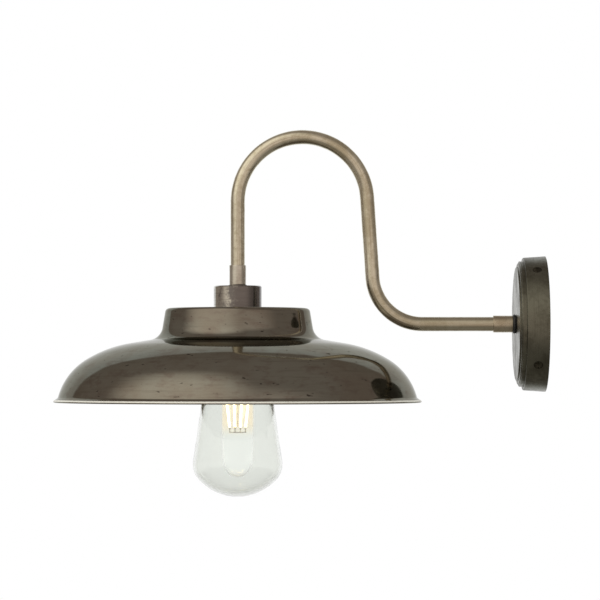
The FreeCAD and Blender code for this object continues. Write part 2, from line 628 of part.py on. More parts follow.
def cover_screws():
    """Countersunk slotted screws, radial in the rim."""
    count = int(size("cover_screw_count"))
    screws = []
    for i in range(count):
        body = new_body(f"CoverScrew{i + 1}")
        revolve(body, f"CoverScrewTurned{i + 1}", [
            ("0", "-cover_screw_length"),
            ("cover_screw_diameter / 2", "-cover_screw_length"),
            ("cover_screw_diameter / 2", "-cover_screw_cone"),
            ("cover_screw_head / 2", "0"),
            ("0", "0"),
        ])
        slotted_cut(body, f"CoverScrewSlot{i + 1}", "-screw_slot_depth", "cut_past", "2 * cover_screw_head")
        out = "(cover_radius - cover_rim_narrowing * cover_screw_place / cover_rim_depth - cover_screw_sink)"
        turn = f"(cover_screw_turn_angle + 360 * {i} / {count})"
        along = {"x": "-cover_screw_place", "y": f"-{out} * sin{turn}", "z": f"{out} * cos{turn}"}
        screws.append(place(body, along, "out", turn))
    group = doc.addObject("Part::Compound", "CoverScrews")
    group.Links = screws
    keep(group, "cover_screws")


def mounting_plate():
    """The dished steel plate on the wall, with its screw slots, cable entry and tapped edge."""
    body = new_body("MountingPlate")
    revolve(body, "PlateDish", [
        ("plate_face_x", "0"),
        ("-gasket_thickness", "0"),
        ("-gasket_thickness", "plate_radius"),
        ("-gasket_thickness - plate_depth", "plate_radius"),
        ("-gasket_thickness - plate_depth", "plate_radius - plate_thickness"),
        ("plate_face_x", "plate_radius - plate_thickness"),
    ], axis="H_Axis")
    tapped = revolve(body, "TappedHole", [
        ("0", "plate_radius - 2 * plate_thickness"),
        ("cover_screw_diameter / 2 + thread_fit", "plate_radius - 2 * plate_thickness"),
        ("cover_screw_diameter / 2 + thread_fit", "cover_radius"),
        ("0", "cover_radius"),
    ], "Groove", shift="-cover_screw_place")
    pattern_round_rim(body, tapped, "PlateDishProfile")
    wall_openings(body, "PlateOpenings", "0")
    place(body, None, "out", "cover_screw_turn_angle")
    keep(body, "mounting_plate")


def wall_openings(body, name, margin, turn="-cover_screw_turn_angle"):
    """Cut the cable entry, the two level wall slots, and the holes of the small screws right through."""
    sketch = sketch_on(body, name, "YZ_Plane")
    rotation = FreeCAD.Rotation(FreeCAD.Vector(0, 0, 1), size(turn))
    sketch.AttachmentOffset = FreeCAD.Placement(FreeCAD.Vector(), rotation)
    if turn != "0":
        sketch.setExpression("AttachmentOffset.Rotation.Angle", linked(turn))
    circle(sketch, "0", "0", f"cable_hole_radius + {margin}", "entry")
    circle(sketch, "earth_y", "-earth_drop", f"earth_screw_diameter / 2 + thread_fit + {margin}", "earth")
    circle(sketch, "block_pitch / 2", "block_low + block_height / 2",
           f"terminal_screw_diameter / 2 + thread_fit + {margin}", "block")
    cut = body.newObject("PartDesign::Pocket", name + "Round")
    cut.Profile = sketch
    cut.Type = "ThroughAll"
    cut.Midplane = True
    for i, side in enumerate(("", "-")):
        slot = sketch_on(body, f"{name}Slot{i + 1}", "YZ_Plane")
        slot.AttachmentOffset = FreeCAD.Placement(FreeCAD.Vector(), rotation)
        if turn != "0":
            slot.setExpression("AttachmentOffset.Rotation.Angle", linked(turn))
        middle = f"{side}slot_spacing / 2"
        half = f"(slot_width / 2 + {margin})"
        run = "(slot_length - slot_width) / 2"
        draw(slot, [
            (f"{middle} - {run}", f"-{half}"),
            (f"{middle} + {run}", f"-{half}", half, "ccw"),
            (f"{middle} + {run} + {half}", "0", half, "ccw"),
            (f"{middle} + {run}", half),
            (f"{middle} - {run}", half, half, "ccw"),
            (f"{middle} - {run} - {half}", "0", half, "ccw"),
        ])
        cut = body.newObject("PartDesign::Pocket", f"{name}Cut{i + 1}")
        cut.Profile = slot
        cut.Type = "ThroughAll"
        cut.Midplane = True


def wall_gasket():
    """The foam gasket between the plate and the wall, open behind every hole of the plate."""
    body = new_body("WallGasket")
    revolve(body, "GasketDisc", [
        ("0", "0"),
        ("0", "plate_radius"),
        ("-gasket_thickness", "plate_radius"),
        ("-gasket_thickness", "0"),
    ], axis="H_Axis")
    wall_openings(body, "GasketOpenings", "gasket_margin", "0")
    keep(body, "wall_gasket")


def terminal_block():
    """The block on the plate: a wire hole and a clamp screw for each way, and the screw that holds it."""
    block = doc.addObject("Part::Box", "BlockBox")
    block.setExpression("Length", linked("block_depth"))
    block.setExpression("Width", linked("block_ways * block_pitch"))
    block.setExpression("Height", linked("block_height"))
    place(block, {"x": "plate_face_x - block_depth", "y": "-block_ways * block_pitch / 2", "z": "block_low"})
    ways = [f"block_pitch * ({way} - (block_ways - 1) / 2)" for way in range(int(size("block_ways")))]
    bore = "terminal_screw_diameter / 2 + thread_fit"
    holes = []
    for way, y in enumerate(ways):
        up = {"x": "block_x", "y": y, "z": "block_low"}
        holes.append(drill(f"wire_hole_{way}", "block_hole / 2", "block_height", up))
        across = {"x": "block_x", "y": y, "z": "block_low + clamp_height"}
        holes.append(drill(f"clamp_hole_{way}", bore, "block_depth / 2", across, "-90"))
    back = {"x": "plate_face_x", "y": "block_pitch / 2", "z": "block_low + block_height / 2"}
    holes.append(drill("fixing_hole", bore, "block_depth", back, "-90"))
    tool = doc.addObject("Part::MultiFuse", "BlockHoles")
    tool.Shapes = holes
    cut = doc.addObject("Part::Cut", "TerminalBlock")
    cut.Base = block
    cut.Tool = tool
    keep(cut, "terminal_block")

    face = "plate_face_x - block_depth"
    clamp = "(block_depth - wire_diameter) / 2 - clamp_gap"
    screws = []
    for way, y in enumerate(ways):
        spot_on_face = {"x": face, "y": y, "z": "block_low + clamp_height"}
        screws.append(slotted_pin(f"clamp_screw_{way}", clamp, spot_on_face))
    group = doc.addObject("Part::Compound", "TerminalScrews")
    group.Links = screws
    keep(group, "terminal_screws")
    front = {"x": face, "y": "block_pitch / 2", "z": "block_low + block_height / 2"}
    keep(slotted_pin("block_fixing", "block_depth + plate_thickness", front), "block_screw")


def drill(name, radius, depth, along, turn=None):
    """A cylinder to cut with: upright, or turned to run out from the wall."""
    tool = doc.addObject("Part::Cylinder", name)
    tool.setExpression("Radius", linked(radius))
    tool.setExpression("Height", linked(depth))
    return place(tool, along, "side" if turn else None, turn)


def slotted_pin(name, length, along):
    """A headless slotted screw that runs towards the wall from the face of the block."""
    shank = drill(name + "_shank", "terminal_screw_diameter / 2", length, along, "90")
    slot = doc.addObject("Part::Box", name + "_slot")
    slot.setExpression("Length", linked("2 * screw_slot_depth"))
    slot.setExpression("Width", linked("terminal_screw_diameter"))
    slot.setExpression("Height", linked("screw_slot"))
    place(slot, {"x": f"{along['x']} - screw_slot_depth",
                 "y": f"{along['y']} - terminal_screw_diameter / 2", "z": f"{along['z']} - screw_slot / 2"})
    cut = doc.addObject("Part::Cut", name)
    cut.Base = shank
    cut.Tool = slot
    return cut


def earth_screw():
    """The earth screw in the plate, its head towards the room."""
    tip = "-earth_head_height - wire_diameter - plate_thickness - gasket_thickness / 2"
    face = "plate_face_x - wire_diameter - earth_head_height"
    turned("earth_screw", [
        ("0", tip),
        ("earth_screw_diameter / 2", tip),
        ("earth_screw_diameter / 2", "-earth_head_height"),
        ("earth_head / 2", "-earth_head_height"),
        ("earth_head / 2", "-earth_head_chamfer"),
        ("earth_head / 2 - earth_head_chamfer", "0"),
        ("0", "0"),
    ], {"x": face, "y": "earth_y", "z": "-earth_drop"}, "side", "-90")


# ---------------------------------------------------------------- wires

def rounded_route(points, radii):
    """Straight runs joined by tangent arcs, one radius for each inner point."""
    edges = []
    start = points[0]
    for corner, following, radius in zip(points[1:], points[2:], radii):
        back = (start - corner).normalize()
        ahead = (following - corner).normalize()
        turn = math.pi - back.getAngle(ahead)
        cut = radius * math.tan(turn / 2)
        first = corner + back * cut
        last = corner + ahead * cut
        inward = (back + ahead).normalize()
        middle = corner + inward * (radius / math.cos(turn / 2) - radius)
        if (first - start).Length > TOUCHING:
            edges.append(Part.LineSegment(start, first).toShape())
        edges.append(Part.Arc(first, middle, last).toShape())
        start = last
    edges.append(Part.LineSegment(start, points[-1]).toShape())
    return Part.Wire(edges)


def wire(label, points, radii):
    """One insulated wire along a route, kept as a plain shape."""
    path = rounded_route(points, radii)
    first = path.Edges[0]
    direction = first.tangentAt(first.FirstParameter)
    section = Part.Wire(Part.makeCircle(size("wire_diameter / 2"), points[0], direction))
    solid = path.makePipeShell([section], True, False)
    expected = math.pi * size("wire_diameter / 2") ** 2 * path.Length
    if abs(solid.Volume - expected) > 0.01 * expected:
        raise RuntimeError(f"{label} has {solid.Volume:.1f} mm3 and should have {expected:.1f}")
    piece = doc.addObject("Part::Feature", label.title().replace("_", ""))
    piece.Shape = solid
    piece.Placement = FreeCAD.Placement()
    return keep(piece, label)


def spot(x, y, z):
    """A point from three expressions."""
    return FreeCAD.Vector(size(x), size(y), size(z))


def tube_wire(label, side, way):
    """A wire from one way of the block, through the gooseneck, to the lampholder's insert.

    side is -1 or 1 for the half of the bore it lies in.  In the high bend the route turns at two corners,
    the meeting points of the tangents at the bend's ends and its crest.
    """
    y = f"{side} * wire_spacing / 2"
    half_turn = "(180 - slant_angle) / 4"
    reach = f"high_bend_radius / cos({half_turn})"
    insert_y = f"{side} * insert_wire_offset"
    points = [
        spot("block_x", f"block_pitch * {way}", "block_low + block_wire_depth"),
        spot("block_x", f"block_pitch * {way}", "wire_fork"),
        spot("block_x", y, "0"),
        spot("-wall_leg - low_bend_radius * tan((90 - slant_angle) / 2)", y, "0"),
        spot(f"high_bend_x + {reach} * cos({half_turn} + slant_angle)", y,
             f"high_bend_z + {reach} * sin({half_turn} + slant_angle)"),
        spot(f"high_bend_x - {reach} * cos({half_turn})", y, f"high_bend_z + {reach} * sin({half_turn})"),
        spot("lamp_x", y, "holder_top_z - hub_height - wire_below_hub"),
        spot("lamp_x", insert_y, "insert_z + insert_thickness + wire_over_insert"),
        spot("lamp_x", insert_y, "insert_z + insert_thickness / 2"),
    ]
    end_bend = size("wire_bend")
    high = size("high_bend_radius")
    radii = [end_bend, end_bend, size("low_bend_radius"), high, high, end_bend, end_bend / 2]
    wire(label, points, radii)


def earth_wire():
    """The earth wire from the block to its screw on the plate."""
    clear = "plate_face_x - wire_diameter / 2"
    points = [
        spot("block_x", "block_pitch", "block_low + block_wire_depth"),
        spot("block_x", "block_pitch", "earth_wire_drop"),
        spot("block_x", "earth_y", "earth_wire_cross"),
        spot(clear, "earth_y", "-earth_wire_low"),
        spot(clear, "earth_y", "-earth_drop + earth_screw_diameter / 2"),
    ]
    wire("earth_wire", points, [size("wire_bend")] * 3)


# ---------------------------------------------------------------- shade and cap

def holder_cap():
    """The turned cap on the shade; the gallery's neck screws into its skirt."""
    outside = "cap_diameter / 2"
    inside = "cap_diameter / 2 - cap_wall"
    turned("holder_cap", [
        (inside, "0"),
        (outside, "0"),
        (outside, "cap_height - cap_chamfer"),
        (f"{outside} - cap_chamfer", "cap_height"),
        ("thread_radius + thread_pass", "cap_height"),
        ("thread_radius + thread_pass", "cap_height - cap_web"),
        (inside, "cap_height - cap_web"),
    ], at_lamp("shade_top_z"))


def shade_line(inset):
    """One face of the spun sheet, from the top hole to the lip: points (radius, height) and their arcs.

    inset is 0 for the outside, or the sheet's thickness for the inside.  Every joint of the outline moves
    square to the sheet by the inset, so the two faces keep one distance.
    """
    def corner(r, d, normal, *arc):
        """A joint at radius r and depth d, moved inwards along a normal in degrees from straight down."""
        return (f"{r} - {inset} * sin({normal})", f"-({d}) - {inset} * cos({normal})", *arc)

    side = "(90 - collar_draft_angle)"
    roll_r = "(collar_radius + roll_tangent * sin(collar_draft_angle))"
    return [
        ("shade_hole", f"-{inset}"),
        corner("(collar_radius - roll_tangent)", "0", "0", f"collar_roll - {inset}", "cw"),
        corner(roll_r, "roll_tangent * cos(collar_draft_angle)", side),
        corner("(corner_r - neck_tangent * sin(collar_draft_angle))",
               "corner_d - neck_tangent * cos(collar_draft_angle)", side, f"neck_radius + {inset}", "ccw"),
        corner("(corner_r + neck_tangent * cos(shoulder_slope_angle))",
               "corner_d + neck_tangent * sin(shoulder_slope_angle)", "shoulder_slope_angle"),
        corner("shoulder_r", "shoulder_d", "shoulder_slope_angle", f"crown_radius - {inset}", "cw"),
        corner("(crown_centre_r + crown_radius * sin(crown_end_angle))",
               "crown_centre_d - crown_radius * cos(crown_end_angle)",
               "crown_end_angle", f"side_radius - {inset}", "cw"),
        corner("(side_centre_r + side_radius * sin(side_end_angle))",
               "side_centre_d - side_radius * cos(side_end_angle)", "side_end_angle"),
    ]


def shade():
    """The spun shade: collar, hollow neck, shoulder, bowl and a flared lip with a rolled edge."""
    outside = shade_line("0")
    inside = shade_line("shade_wall")
    lip_top = "-shade_height + 2 * lip_roll"
    rim = "rim_radius - lip_roll"
    lip = [
        (rim, lip_top, "lip_roll", "cw"),
        ("rim_radius", "-shade_height + lip_roll", "lip_roll", "cw"),
        (rim, "-shade_height"),
        (f"{rim} - lip_roll", "-shade_height"),
    ]
    turned("shade", outside + lip + reversed_arcs(inside), at_lamp("shade_top_z"))


def reversed_arcs(corners):
    """The same outline walked backwards, each arc handed to its other end and turned round."""
    other = {"cw": "ccw", "ccw": "cw"}
    walked = []
    for i in range(len(corners) - 1, -1, -1):
        arc = corners[i - 1][2:] if i > 0 else ()
        back = (arc[0], other[arc[1]]) if arc else ()
        walked.append((corners[i][0], corners[i][1], *back))
    return walked


# ---------------------------------------------------------------- gallery and glass

def glass_gallery():
    """The turned gallery: its neck clamps the shade to the cap and its bell holds the glass."""
    bell = "glass_bore + gallery_wall"
    turned("glass_gallery", [
        ("spigot_radius - spigot_wall", "spigot_length"),
        ("spigot_radius - spigot_wall", "-flange_thickness"),
        ("ledge_bore", "-flange_thickness"),
        ("ledge_bore", "-ledge_depth"),
        ("glass_bore", "-ledge_depth"),
        ("glass_bore", "-gallery_depth"),
        (bell, "-gallery_depth"),
        (bell, "-flange_thickness - gallery_fillet", "gallery_fillet", "cw"),
        (f"{bell} + gallery_fillet", "-flange_thickness"),
        ("flange_radius", "-flange_thickness"),
        ("flange_radius", "0"),
        ("spigot_radius", "0"),
        ("spigot_radius", "spigot_length"),
    ], at_lamp("flange_z"))
    seal = ring("spigot_radius + rubber_inset", "flange_radius - rubber_inset", "0", "shade_gasket_thickness")
    turned("shade_gasket", seal, at_lamp("flange_z"))
    seal = ring("ledge_bore + rubber_inset", "glass_bore - rubber_inset", "-glass_gasket_thickness", "0")
    turned("glass_gasket", seal, at_lamp("flange_z - ledge_depth"))


def well_glass():
    """The well glass: threaded neck, tapered side, round corner and shallow rounded bottom."""
    def joints(inset):
        """Dome to corner arc, and corner arc to side, on the face that lies inset inside the outer one."""
        scale = f"(glass_dome_radius - {inset}) / glass_corner_reach"
        low = (f"glass_corner_r * {scale}", f"glass_dome_z - (glass_dome_z - glass_corner_z) * {scale}")
        high = (f"glass_corner_r + (glass_corner - {inset}) * cos(glass_taper_angle)",
                f"glass_corner_z + (glass_corner - {inset}) * sin(glass_taper_angle)")
        return low, high

    low, high = joints("0")
    low_in, high_in = joints("glass_wall")
    neck_in = "glass_neck_radius - glass_wall"
    side_z = "glass_shoulder_z - glass_shoulder"
    side_r = f"glass_side_r - ({side_z} - glass_side_z) * tan(glass_taper_angle)"
    meet_z = f"({high_in[1]} + ({high_in[0]} - ({neck_in})) / tan(glass_taper_angle))"
    turned("well_glass", [
        ("0", "glass_bottom_z", "glass_dome_radius", "ccw"),
        (*low, "glass_corner", "ccw"),
        high,
        (side_r, side_z),
        ("glass_neck_radius", "glass_shoulder_z"),
        ("glass_neck_radius", "glass_top_z"),
        (neck_in, "glass_top_z"),
        (neck_in, meet_z),
        (*high_in, "glass_corner - glass_wall", "cw"),
        (*low_in, "glass_dome_radius - glass_wall", "cw"),
        ("0", "glass_bottom_z + glass_wall"),
    ], ON_LAMP)


# ---------------------------------------------------------------- lampholder

def lampholder():
    """The lampholder: upper part on its threaded hub, porcelain insert, skirt, screw shell and contact."""
    dome_in = "dome_radius - dome_wall"
    hub = "thread_radius + thread_fit"
    turned("holder_dome", [
        (hub, "dome_height"),
        (hub, "dome_height - hub_height"),
        (f"{hub} + hub_wall", "dome_height - hub_height"),
        (f"{hub} + hub_wall", "dome_height - dome_wall"),
        (f"{dome_in} - dome_roll + dome_wall", "dome_height - dome_wall", "dome_roll - dome_wall", "cw"),
        (dome_in, "dome_height - dome_roll"),
        (dome_in, "0"),
        ("dome_radius", "0"),
        ("dome_radius", "dome_height - dome_roll", "dome_roll", "ccw"),
        ("dome_radius - dome_roll", "dome_height"),
    ], at_lamp("insert_z"))

    insert = new_body("HolderInsert")
    insert_corners = [("0", "0"), (f"{dome_in} - insert_fit", "0"),
                      (f"{dome_in} - insert_fit", "insert_thickness"), ("0", "insert_thickness")]
    revolve(insert, "InsertDisc", insert_corners)
    pits = sketch_on(insert, "WirePits", "XY_Plane")
    pits.setExpression("AttachmentOffset.Base.z", linked("insert_thickness / 2"))
    for name, side in (("live", "-"), ("neutral", "")):
        circle(pits, "0", f"{side}insert_wire_offset", "wire_diameter / 2 + screw_pass", name)
    pocket = insert.newObject("PartDesign::Pocket", "WirePitCuts")
    pocket.Profile = pits
    pocket.Type = "Length"
    pocket.Reversed = True
    pocket.setExpression("Length", linked("insert_thickness"))
    place(insert, at_lamp("insert_z"))
    keep(insert, "holder_insert")

    low = "skirt_overlap - skirt_height"
    turned("holder_skirt", [
        ("skirt_bore", low),
        ("skirt_radius - skirt_taper", low),
        ("skirt_radius", f"{low} + skirt_taper_height"),
        ("skirt_radius", "skirt_overlap"),
        ("dome_radius + insert_fit", "skirt_overlap"),
        ("dome_radius + insert_fit", "0"),
        ("skirt_bore", "0"),
    ], at_lamp("insert_z"))
    turned("screw_shell", [
        ("shell_web_bore", "0"),
        ("shell_web_bore", "-shell_sheet"),
        ("shell_radius - shell_sheet", "-shell_sheet"),
        ("shell_radius - shell_sheet", "-shell_length"),
        ("shell_radius", "-shell_length"),
        ("shell_radius", "0"),
    ], at_lamp("insert_z"))

    tongue = new_body("CentreContact")
    outline = sketch_on(tongue, "TongueOutline")
    draw(outline, [
        ("-tongue_reach", "0"),
        ("-tongue_reach", "-shell_sheet"),
        ("-tongue_bend", "-shell_sheet"),
        ("0", "-tongue_drop - shell_sheet"),
        ("tongue_foot", "-tongue_drop - shell_sheet"),
        ("tongue_foot", "-tongue_drop"),
        ("shell_sheet", "-tongue_drop"),
        ("-tongue_bend + shell_sheet", "0"),
    ])
    pad = tongue.newObject("PartDesign::Pad", "TonguePad")
    pad.Profile = outline
    pad.Midplane = True
    pad.setExpression("Length", linked("tongue_width"))
    place(tongue, at_lamp("insert_z"))
    keep(tongue, "centre_contact")


# ---------------------------------------------------------------- filament lamp

def lamp_cap():
    """The lamp's contact tip, black glass, threaded cap, and the circuit board in the cap."""
    turned("lamp_contact", [
        ("0", "-lamp_contact_height"),
        ("lamp_contact_radius", "-lamp_contact_height"),
        ("lamp_contact_radius", "-lamp_contact_edge"),
        ("lamp_contact_flat", "0"),
        ("0", "0"),
    ], at_lamp("lamp_top_z"))
    turned("lamp_insulator", [
        ("0", "0"),
        ("lamp_insulator_radius", "0"),
        ("lamp_contact_radius", "lamp_insulator_height"),
        ("0", "lamp_insulator_height"),
    ], at_lamp("lamp_cap_z"))
    turned("lamp_cap", [
        ("0", "0"),
        ("0", "-lamp_cap_sheet"),
        ("lamp_insulator_radius - lamp_cap_sheet", "-lamp_cap_sheet"),
        ("lamp_cap_radius - lamp_cap_sheet", "-lamp_cap_shoulder"),
        ("lamp_cap_radius - lamp_cap_sheet", "-lamp_cap_length"),
        ("lamp_cap_radius", "-lamp_cap_length"),
        ("lamp_cap_radius", "-lamp_cap_shoulder + lamp_cap_sheet"),
        ("lamp_insulator_radius", "0"),
    ], at_lamp("lamp_cap_z"))

    board = doc.addObject("Part::Box", "DriverBoard")
    board.setExpression("Length", linked("driver_width"))
    board.setExpression("Width", linked("driver_board"))
    board.setExpression("Height", linked("driver_height"))
    low = "lamp_cap_z - lamp_cap_sheet - driver_height"
    place(board, {"x": "lamp_x - driver_width / 2", "y": "-driver_board / 2", "z": low})
    capacitor = doc.addObject("Part::Cylinder", "DriverCapacitor")
    capacitor.setExpression("Radius", linked("capacitor_diameter / 2"))
    capacitor.setExpression("Height", linked("capacitor_height"))
    place(capacitor, {"x": "lamp_x", "y": "(driver_board + capacitor_diameter) / 2", "z": low})
    driver = doc.addObject("Part::Compound", "LampDriver")
    driver.Links = [board, capacitor]
    keep(driver, "lamp_driver")


def lamp_bulb():
    """The tubular bulb with its rounded nose, and the glass stem in its neck."""
    def shell(inset):
        """One face of the bulb from the nose to the neck."""
        lean = "(lamp_side_arc - lamp_radius) / (lamp_side_arc - lamp_nose)"
        fall = "nose_rise / (lamp_side_arc - lamp_nose)"
        return [
            ("0", f"lamp_end_z + {inset}", f"lamp_nose - {inset}", "ccw"),
            (f"(lamp_nose - {inset}) * {lean}", f"lamp_end_z + lamp_nose - (lamp_nose - {inset}) * {fall}",
             f"lamp_side_arc - {inset}", "ccw"),
            (f"lamp_radius - {inset}", "side_arc_z"),
            (f"lamp_radius - {inset}", "lamp_mouth_z - lamp_flare_height"),
            (f"lamp_neck_radius - {inset}", "lamp_mouth_z"),
            (f"lamp_neck_radius - {inset}", "lamp_mouth_z + lamp_neck_grip"),
        ]

    turned("lamp_bulb", shell("0") + reversed_arcs(shell("lamp_glass")), ON_LAMP)
    turned("lamp_stem", [
        ("0", "-stem_length"),
        ("stem_tip_radius", "-stem_length"),
        ("stem_radius", "-stem_length + stem_tip"),
        ("stem_radius", "-stem_cone"),
        ("stem_flare", "-stem_lip"),
        ("stem_flare", "0"),
        ("0", "0"),
    ], at_lamp("stem_z"))


def rod_between(start, end, diameter):
    """A round bar between two points, as a bare shape."""
    run = end - start
    return Part.makeCylinder(diameter / 2, run.Length, start, run)


def filaments():
    """The leaning filaments, the wires that carry them, and the star that joins their lower ends."""
    count = int(size("filament_count"))
    axis = FreeCAD.Vector(size("lamp_x"), 0, 0)
    thin = size("lead_diameter")

    def level(expression):
        """The point of the lamp axis at a height."""
        return axis + FreeCAD.Vector(0, 0, size(expression))

    bars = []
    star = [rod_between(level("stem_z - stem_length"), level("lead_ring_z"), thin)]
    hangers = []
    for i in range(count):
        turn = math.radians(size("filament_turn_angle") + 360 / count * i)
        out = FreeCAD.Vector(math.sin(turn), -math.cos(turn), 0)
        low = level("filament_low_z") + out * size("filament_low_radius")
        high = (level("filament_low_z + filament_length * cos(filament_lean_angle)")
                + out * size("filament_low_radius + filament_length * sin(filament_lean_angle)"))
        foot = level("lead_ring_z") + out * size("filament_low_radius")
        bars.append(rod_between(low, high, size("filament_diameter")))
        star.append(rod_between(level("lead_ring_z"), foot, thin))
        star.append(rod_between(foot, low, thin))
        hangers.append(rod_between(level("stem_z - hanger_height"), high, thin))
    glow = doc.addObject("Part::Feature", "LampFilaments")
    glow.Shape = Part.makeCompound(bars)
    keep(glow, "lamp_filaments")

    stem = next(p for p in subparts if p.Label == "lamp_stem")
    doc.recompute()
    wires = [star[0].multiFuse(star[1:]).cut(glow.Shape).cut(stem.Shape)]
    wires += [hanger.cut(glow.Shape).cut(stem.Shape) for hanger in hangers]
    carried = doc.addObject("Part::Feature", "FilamentLeads")
    carried.Shape = Part.makeCompound([solid for wire in wires for solid in wire.Solids])
    keep(carried, "filament_leads")


# ---------------------------------------------------------------- the whole light

gooseneck_tube()
arm_ends()
wall_cover()
cover_screws()
mounting_plate()
wall_gasket()
terminal_block()
earth_screw()
holder_cap()
shade()
glass_gallery()
well_glass()
lampholder()
lamp_cap()
lamp_bulb()
filaments()
tube_wire("live_wire", -1, -1)
tube_wire("neutral_wire", 1, 0)
earth_wire()
doc.recompute()

faults = [o.Label for o in doc.Objects if {"Invalid", "Error"} & set(o.State)]
faults += [p.Label for p in subparts if p.Shape.isNull() or not p.Shape.isValid() or not p.Shape.Solids]
if faults:
    raise RuntimeError("these did not build: " + ", ".join(faults))

os.makedirs("parts", exist_ok=True)
for piece in subparts:
    piece.Shape.exportStep(f"parts/{piece.Label}.step")
    print(f"{piece.Label:18s} {len(piece.Shape.Solids)} solids {piece.Shape.Volume:12.1f} mm3")
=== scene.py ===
"""The looks of a gooseneck wall light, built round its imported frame.

Lengths are given in millimetres and go into the meshes in metres.  The frame's origin is the centre of the
back of the wall cover, the room is towards -X, +Z is up, and azimuth 0 looks along +Y.
"""

import json
import math

import bpy
import numpy as np
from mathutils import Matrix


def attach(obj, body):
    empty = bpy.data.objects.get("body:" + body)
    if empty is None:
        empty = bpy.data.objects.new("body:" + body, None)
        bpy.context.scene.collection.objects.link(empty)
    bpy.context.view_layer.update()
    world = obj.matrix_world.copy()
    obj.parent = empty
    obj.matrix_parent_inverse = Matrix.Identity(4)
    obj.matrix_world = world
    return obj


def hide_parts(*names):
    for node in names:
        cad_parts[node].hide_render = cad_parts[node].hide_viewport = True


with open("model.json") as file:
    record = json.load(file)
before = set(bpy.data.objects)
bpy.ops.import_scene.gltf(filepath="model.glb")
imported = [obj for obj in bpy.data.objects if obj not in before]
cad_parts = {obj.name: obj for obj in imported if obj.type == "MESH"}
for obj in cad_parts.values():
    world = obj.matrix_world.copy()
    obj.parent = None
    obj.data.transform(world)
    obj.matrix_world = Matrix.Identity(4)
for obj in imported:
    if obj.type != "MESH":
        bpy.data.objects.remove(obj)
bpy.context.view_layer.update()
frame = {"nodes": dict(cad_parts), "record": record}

LAMP_X = -272.18    # the lamp's upright axis
TURN = 2 * math.pi
KEEP_FLAT = 0.3     # how far past a rounding, in its radii, a flat gets one more point


# ------------------------------------------------------------------ surfaces

def mesh_piece(name, vertices, faces, body, node, material, along=None):
    """A smooth mesh object from vertices in millimetres, riding on a body and standing for its CAD node.

    The sum of the signed volumes between the origin and the faces tells whether the faces point outwards;
    when it is negative they are all turned round.  Points on no face are left out.  along is a vector on each
    vertex that a finish can read.
    """
    used, order = np.unique(np.concatenate([np.asarray(face) for face in faces]), return_inverse=True)
    ends = np.cumsum([len(face) for face in faces])[:-1]
    faces = [face.tolist() for face in np.split(order, ends)]
    vertices = np.asarray(vertices, float)[used]
    corner = vertices[[(face[0], face[i], face[i + 1]) for face in faces for i in range(1, len(face) - 1)]]
    if np.einsum("ij,ij->", corner[:, 0], np.cross(corner[:, 1], corner[:, 2])) < 0:
        faces = [face[::-1] for face in faces]
    mesh = bpy.data.meshes.new(name)
    mesh.from_pydata((vertices * 0.001).tolist(), [], faces)
    mesh.polygons.foreach_set("use_smooth", np.ones(len(mesh.polygons), bool))
    if along is not None:
        held = mesh.attributes.new("along", "FLOAT_VECTOR", "POINT")
        held.data.foreach_set("vector", np.asarray(along, np.float32)[used].ravel())
    mesh.materials.append(material)
    mesh.update()
    piece = bpy.data.objects.new(name, mesh)
    bpy.context.scene.collection.objects.link(piece)
    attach(piece, body)
    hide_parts(node)
    return piece


def quads(rows, columns, row_loop):
    """Faces between neighbouring grid points: columns always close into a ring, rows only when asked."""
    row = np.arange(rows if row_loop else rows - 1)[:, None]
    column = np.arange(columns)[None, :]
    after_row = (row + 1) % rows
    after_column = (column + 1) % columns
    here, right = row * columns + column, row * columns + after_column
    up, across = after_row * columns + column, after_row * columns + after_column
    return np.stack([here, right, across, up], -1).reshape(-1, 4).tolist()


def fan(pole, ring_start, columns, outward):
    """Triangles that close a ring of the grid onto one pole; outward says which way round they go."""
    turn = [(ring_start + i, ring_start + (i + 1) % columns) for i in range(columns)]
    return [(pole, b, a) if outward else (pole, a, b) for a, b in turn]


def full_turn(columns):
    """The angle of each column, spread evenly over one turn."""
    return np.arange(columns) / columns * TURN


def turned_points(outline, columns, axis="z", centre=(LAMP_X, 0, 0)):
    """A grid of an outline carried round an axis: radius times cosine and sine, height along the axis."""
    outline = np.asarray(outline, float)
    angle = full_turn(columns)
    radius, height = outline[:, :1], outline[:, 1:] + 0 * angle
    across, deep = radius * np.cos(angle), radius * np.sin(angle)
    grid = np.stack([across, deep, height], -1) if axis == "z" else np.stack([height, across, deep], -1)
    return grid + np.asarray(centre, float)


def turned(name, outline, columns, body, node, material, loop=True, axis="z", centre=(LAMP_X, 0, 0)):
    """A turned piece: the outline (radius, height) goes once round its axis.

    A closed outline makes a ring.  An open one starts and ends on the axis, where it closes on one point.
    """
    outline = np.asarray(outline, float)
    if loop:
        grid = turned_points(outline, columns, axis, centre)
        faces = quads(len(outline), columns, True)
        vertices = grid.reshape(-1, 3)
    else:
        rows = outline[1:-1]
        grid = turned_points(rows, columns, axis, centre)
        poles = turned_points(outline[[0, -1]], 1, axis, centre).reshape(-1, 3)
        vertices = np.concatenate([grid.reshape(-1, 3), poles])
        faces = quads(len(rows), columns, False)
        count = len(rows) * columns
        faces += fan(count, 0, columns, True)
        faces += fan(count + 1, count - columns, columns, False)
    return mesh_piece(name, vertices, faces, body, node, material)


def arc(centre, radius, start, end, steps):
    """Points of an arc; the angles are in degrees from the first axis."""
    angle = np.radians(np.linspace(start, end, steps + 1))
    return np.stack([centre[0] + radius * np.cos(angle), centre[1] + radius * np.sin(angle)], -1)


